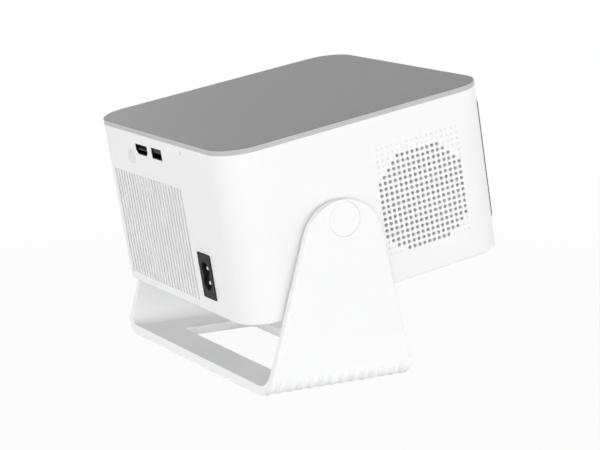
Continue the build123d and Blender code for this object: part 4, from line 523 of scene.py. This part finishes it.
def board_lacquer():
    finish = Finish("board_lacquer")
    place = finish.place()
    flat = finish.stretched(place, (1.0, 1.0, 0.0))
    track = finish.cells(flat, scale=260.0, feature="DISTANCE_TO_EDGE", randomness=0.6).under(TRACK_EDGE)
    cloud = finish.noise(place, scale=120.0)
    green = finish.blend(cloud, (0.008, 0.07, 0.03), (0.012, 0.09, 0.038))
    return finish.shade(
        base_color=finish.blend(track, green, TRACK_GREEN),
        roughness=0.3 + 0.1 * cloud,
        normal=finish.bump(track, depth=0.00003),
        coat_weight=0.2,
    )


dress(board_lacquer(), "main_board", "supply_board")

# %% [markdown]
# ## Wrapped and wound parts
# The transformer is wound and taped, the capacitors wear a shrunk sleeve, and the ribbon is amber film.
# A tape's edges, a sleeve's shrink lines and a ribbon's tracks all repeat along one axis, so bands along
# that axis do for the three, each at its own pitch.

# %% Tape, sleeve and film
ACROSS, UPRIGHT = 0, 2


def banded(name, dark, pale, pitch, axis, roughness):
    finish = Finish(name)
    coordinate = finish.parts(finish.head_place())[axis]
    bands = 0.5 + 0.5 * coordinate.ripple(pitch)
    cloud = finish.noise(finish.place(), scale=150.0)
    return finish.shade(
        base_color=finish.blend(0.6 * bands + 0.4 * cloud, dark, pale),
        roughness=roughness + 0.1 * cloud,
        normal=finish.bump(bands, depth=0.00004),
    )


tape = banded(
    "winding_tape", (0.05, 0.035, 0.012), (0.1, 0.075, 0.02), pitch=0.0016, axis=ACROSS, roughness=0.4
)
sleeve = banded(
    "shrunk_sleeve", (0.008, 0.01, 0.018), (0.014, 0.016, 0.03), pitch=0.006, axis=UPRIGHT, roughness=0.3
)
film = banded(
    "amber_film", (0.3, 0.13, 0.02), (0.4, 0.19, 0.035), pitch=0.0012, axis=ACROSS, roughness=0.25
)
dress(tape, "transformer")
dress(sleeve, "capacitors")
dress(film, "panel_ribbon")

# %% [markdown]
# ## Paper, ferrite, rubber and foam
# Speaker cones are pressed paper with tiny fibres, magnets are dull ferrite, and the pad, the washers
# and the gasket are rubber or foam. Each is a cell pattern at its own scale: fibres are long and thin,
# ferrite is granular, foam is open cells. The cones are what you see through the speaker holes.

# %% Fibrous and granular finishes
def granular(name, dark, pale, scale, depth, roughness, stretch=(1.0, 1.0, 1.0)):
    finish = Finish(name)
    grains = finish.cells(finish.stretched(finish.place(), stretch), scale)
    cloud = finish.noise(finish.place(), scale=0.08 * scale, detail=3.0)
    return finish.shade(
        base_color=finish.blend(0.5 * grains + 0.5 * cloud, dark, pale),
        roughness=roughness + 0.1 * grains,
        normal=finish.bump(grains, depth),
    )


paper = granular(
    "cone_paper", (0.1, 0.1, 0.102), (0.16, 0.16, 0.163),
    scale=1600.0, depth=0.00004, roughness=0.8, stretch=(1.0, 0.3, 1.0),
)
ferrite = granular(
    "ferrite", (0.02, 0.02, 0.022), (0.045, 0.045, 0.048), scale=2400.0, depth=0.00002, roughness=0.55
)
pad = granular("pad_rubber", 0.5, 0.6, scale=1400.0, depth=0.00006, roughness=0.8)
rubber = granular("dark_rubber", 0.012, 0.025, scale=1800.0, depth=0.00005, roughness=0.75)
foam = granular(
    "gasket_foam", (0.02, 0.02, 0.021), (0.06, 0.06, 0.062), scale=900.0, depth=0.0002, roughness=0.9
)
dress(paper, "speaker_cone_left", "speaker_cone_right")
dress(ferrite, "speaker_magnet_left", "speaker_magnet_right")
dress(pad, "base_pad")
dress(rubber, "friction_washers", "inlet_leads")
dress(foam, "fan_gasket")

# %% [markdown]
# ## Acetal and the status lamp
# The bushes, the focus ring and its pinion are natural acetal: milky white, slightly waxy, a little
# translucent. The status lamp is a clear bar over a small chip. Both take a soft cloud so that they
# don't look painted.

# %% Acetal and clear plastic
def acetal():
    finish = Finish("natural_acetal")
    cloud = finish.noise(finish.place(), scale=160.0)
    return finish.shade(
        base_color=finish.blend(cloud, (0.7, 0.69, 0.65), (0.78, 0.77, 0.73)),
        roughness=0.32 + 0.1 * cloud,
        subsurface_weight=0.1,
        subsurface_scale=0.001,
    )


def clear_bar():
    finish = Finish("clear_bar")
    cloud = finish.noise(finish.place(), scale=200.0)
    return finish.shade(
        base_color=finish.blend(cloud, (0.84, 0.86, 0.87), (0.9, 0.92, 0.93)),
        roughness=0.12 + 0.08 * cloud,
        transmission_weight=0.2,
        ior=1.49,
    )


dress(acetal(), "pivot_bushes", "focus_ring", "focus_pinion")
dress(clear_bar(), "light_pipe", "lamp_chip")

# %% [markdown]
# ## Seeing white without adding light
# The photograph was taken on seamless white, so the floor and the room have to come out white without
# flooding the white projector with light. Light Path tells the rays apart. Where the camera, a reflection
# or glass looks at the floor or the room, plain white shows. The rays that carry light see the real thing.

# %% White for the rays that look
WATCHING_RAYS = ("Is Camera Ray", "Is Glossy Ray", "Is Transmission Ray")


def looked_at(finish):
    """1 for rays from the camera, from a reflection or through glass, and 0 for the rays that light."""
    path = finish.node("ShaderNodeLightPath").socket.node
    return sum(Wire(finish, path.outputs[name]) for name in WATCHING_RAYS).least(1.0)


def show_white(finish, own, share):
    """Shows plain white in place of a finish's own shader, by a share from 0 to 1."""
    white = finish.node("ShaderNodeEmission", inputs={"Color": WHITE, "Strength": 1.0})
    both = finish.node("ShaderNodeMixShader", inputs={0: share, 1: own, 2: white})
    finish.feed(finish.end, both)
    return finish.owner


print("white for", ", ".join(WATCHING_RAYS))

# %% [markdown]
# ## The floor
# The floor is an ordinary pale surface for every ray that carries light. For the rays that look at it,
# most of what shows is plain white, and the share of white grows with the distance from the projector,
# up to WHITE_REACH metres. The shadow stays, because it lies in the ordinary part.

# %% A white floor that keeps its shadow
FLOOR_HALF = 9.0
WHITE_AT_OBJECT = 0.92
WHITE_REACH = 0.7


def white_floor():
    finish = Finish("studio_floor")
    place = finish.place()
    cloud = finish.noise(place, scale=3.0)
    finish.shade(base_color=finish.blend(cloud, 0.9, 0.92), roughness=0.9, specular_ior_level=0.0)
    x, y, _ = finish.parts(place)
    away = ((x * x + y * y).root() / WHITE_REACH).least(1.0)
    share = WHITE_AT_OBJECT + (1.0 - WHITE_AT_OBJECT) * away
    return show_white(finish, finish.own(), looked_at(finish) * share)


corners = [(x * FLOOR_HALF, y * FLOOR_HALF, 0.0) for x, y in ((-1, -1), (1, -1), (1, 1), (-1, 1))]
floor_mesh = bpy.data.meshes.new("studio_floor")
floor_mesh.from_pydata(corners, [], [(0, 1, 2, 3)])
floor_mesh.materials.append(white_floor())
floor = bpy.data.objects.new("studio_floor", floor_mesh)
bpy.context.scene.collection.objects.link(floor)
print("floor of", 2 * FLOOR_HALF, "metres")

# %% [markdown]
# ## The room
# The photograph has hardly any shade under the projector, so its light comes in low, from white walls
# all around, and little from a ceiling. The world does that: it is brightest at the horizon and has faded
# a third of the way up, so that light reaches the stand's base below the head. WALL_TOP is the height at
# which it has faded, as the upward part of a direction of length 1. The rays that look see plain white
# instead, so that a view over the floor's edge is white too. A world has a node tree like a material's,
# so the same class serves.

# %% White walls all around
WALL_LIGHT = 3.7
WALL_TOP = 0.5
CEILING_LIGHT = 0.1
room = Finish("white_room", bpy.data.worlds, "Background", "World Output")
room.shade(color=WHITE, strength=WALL_LIGHT)
skyward = room.parts(room.node("ShaderNodeTexCoord", output="Generated"))[2]
ceiling = room.node("ShaderNodeBackground", inputs={"Color": WHITE, "Strength": CEILING_LIGHT})
fade = (skyward / WALL_TOP).least(1.0)
walls = room.node("ShaderNodeMixShader", inputs={0: fade, 1: room.own(), 2: ceiling})
bpy.context.scene.world = show_white(room, walls, looked_at(room))
print("light of", WALL_LIGHT, "at the horizon and", CEILING_LIGHT, "above", WALL_TOP)

# %% [markdown]
# ## Soft boxes
# The side of the projector is the brightest face in the photograph, the rear is a shade darker, and
# there is no hard shadow. The white walls give most of the light. Two large soft boxes do the rest: one
# on the side that the camera sees, which makes that face the brightest, and a weaker one opposite. A
# large lamp gives soft edges, which is why each is over a metre wide.

# %% Two soft boxes
MIDDLE = Vector((0.0, 0.0, 0.08))
BOX_SIZE = 1.2


def soft_box(name, place, power):
    """A square lamp that faces the middle of the projector, with its power in watts."""
    lamp = bpy.data.lights.new(name, "AREA")
    lamp.shape = "SQUARE"
    lamp.size = BOX_SIZE
    lamp.energy = power
    box = bpy.data.objects.new(name, lamp)
    aim = MIDDLE - Vector(place)
    box.matrix_world = Matrix.Translation(place) @ aim.to_track_quat("-Z", "Y").to_matrix().to_4x4()
    bpy.context.scene.collection.objects.link(box)
    print(name, "at", place, "with", power, "watts")


soft_box("side_box", place=(-1.6, 0.7, 0.7), power=8.0)
soft_box("far_box", place=(1.7, 0.0, 0.5), power=3.0)

# %% [markdown]
# ## The camera
# The camera's place was worked out from the photograph: the straight edges of the head and the square
# grid of the speaker holes fix where the photographer stood and how long the lens was. A long lens from
# a metre away keeps the box's edges nearly parallel. We build the camera's axes from its line of sight
# and its upward direction. The lens and the sensor are in millimetres, and the rest is in metres.

# %% Camera
EYE = TILT_AXIS + Vector((-0.9503, 0.5258, 0.1986))
SIGHT = Vector((0.8489, -0.4908, -0.1960)).normalized()
UPWARD = Vector((0.166, -0.102, 0.981))
SENSOR_WIDTH = 36.0
FOCAL_LENGTH = 114.86
NEAREST = 0.05

camera = bpy.data.cameras.new("photographer")
camera.sensor_fit = "HORIZONTAL"
camera.sensor_width = SENSOR_WIDTH
camera.lens = FOCAL_LENGTH
camera.clip_start = NEAREST
viewer = bpy.data.objects.new("photographer", camera)
right = SIGHT.cross(UPWARD).normalized()
axes = Matrix((right, right.cross(SIGHT), -SIGHT)).transposed().to_4x4()
viewer.matrix_world = Matrix.Translation(EYE) @ axes
bpy.context.scene.collection.objects.link(viewer)
bpy.context.scene.camera = viewer
bpy.context.scene.view_settings.view_transform = "Standard"
print("camera at", [round(part, 3) for part in EYE])

# %% [markdown] The finishes must not change the object's size.
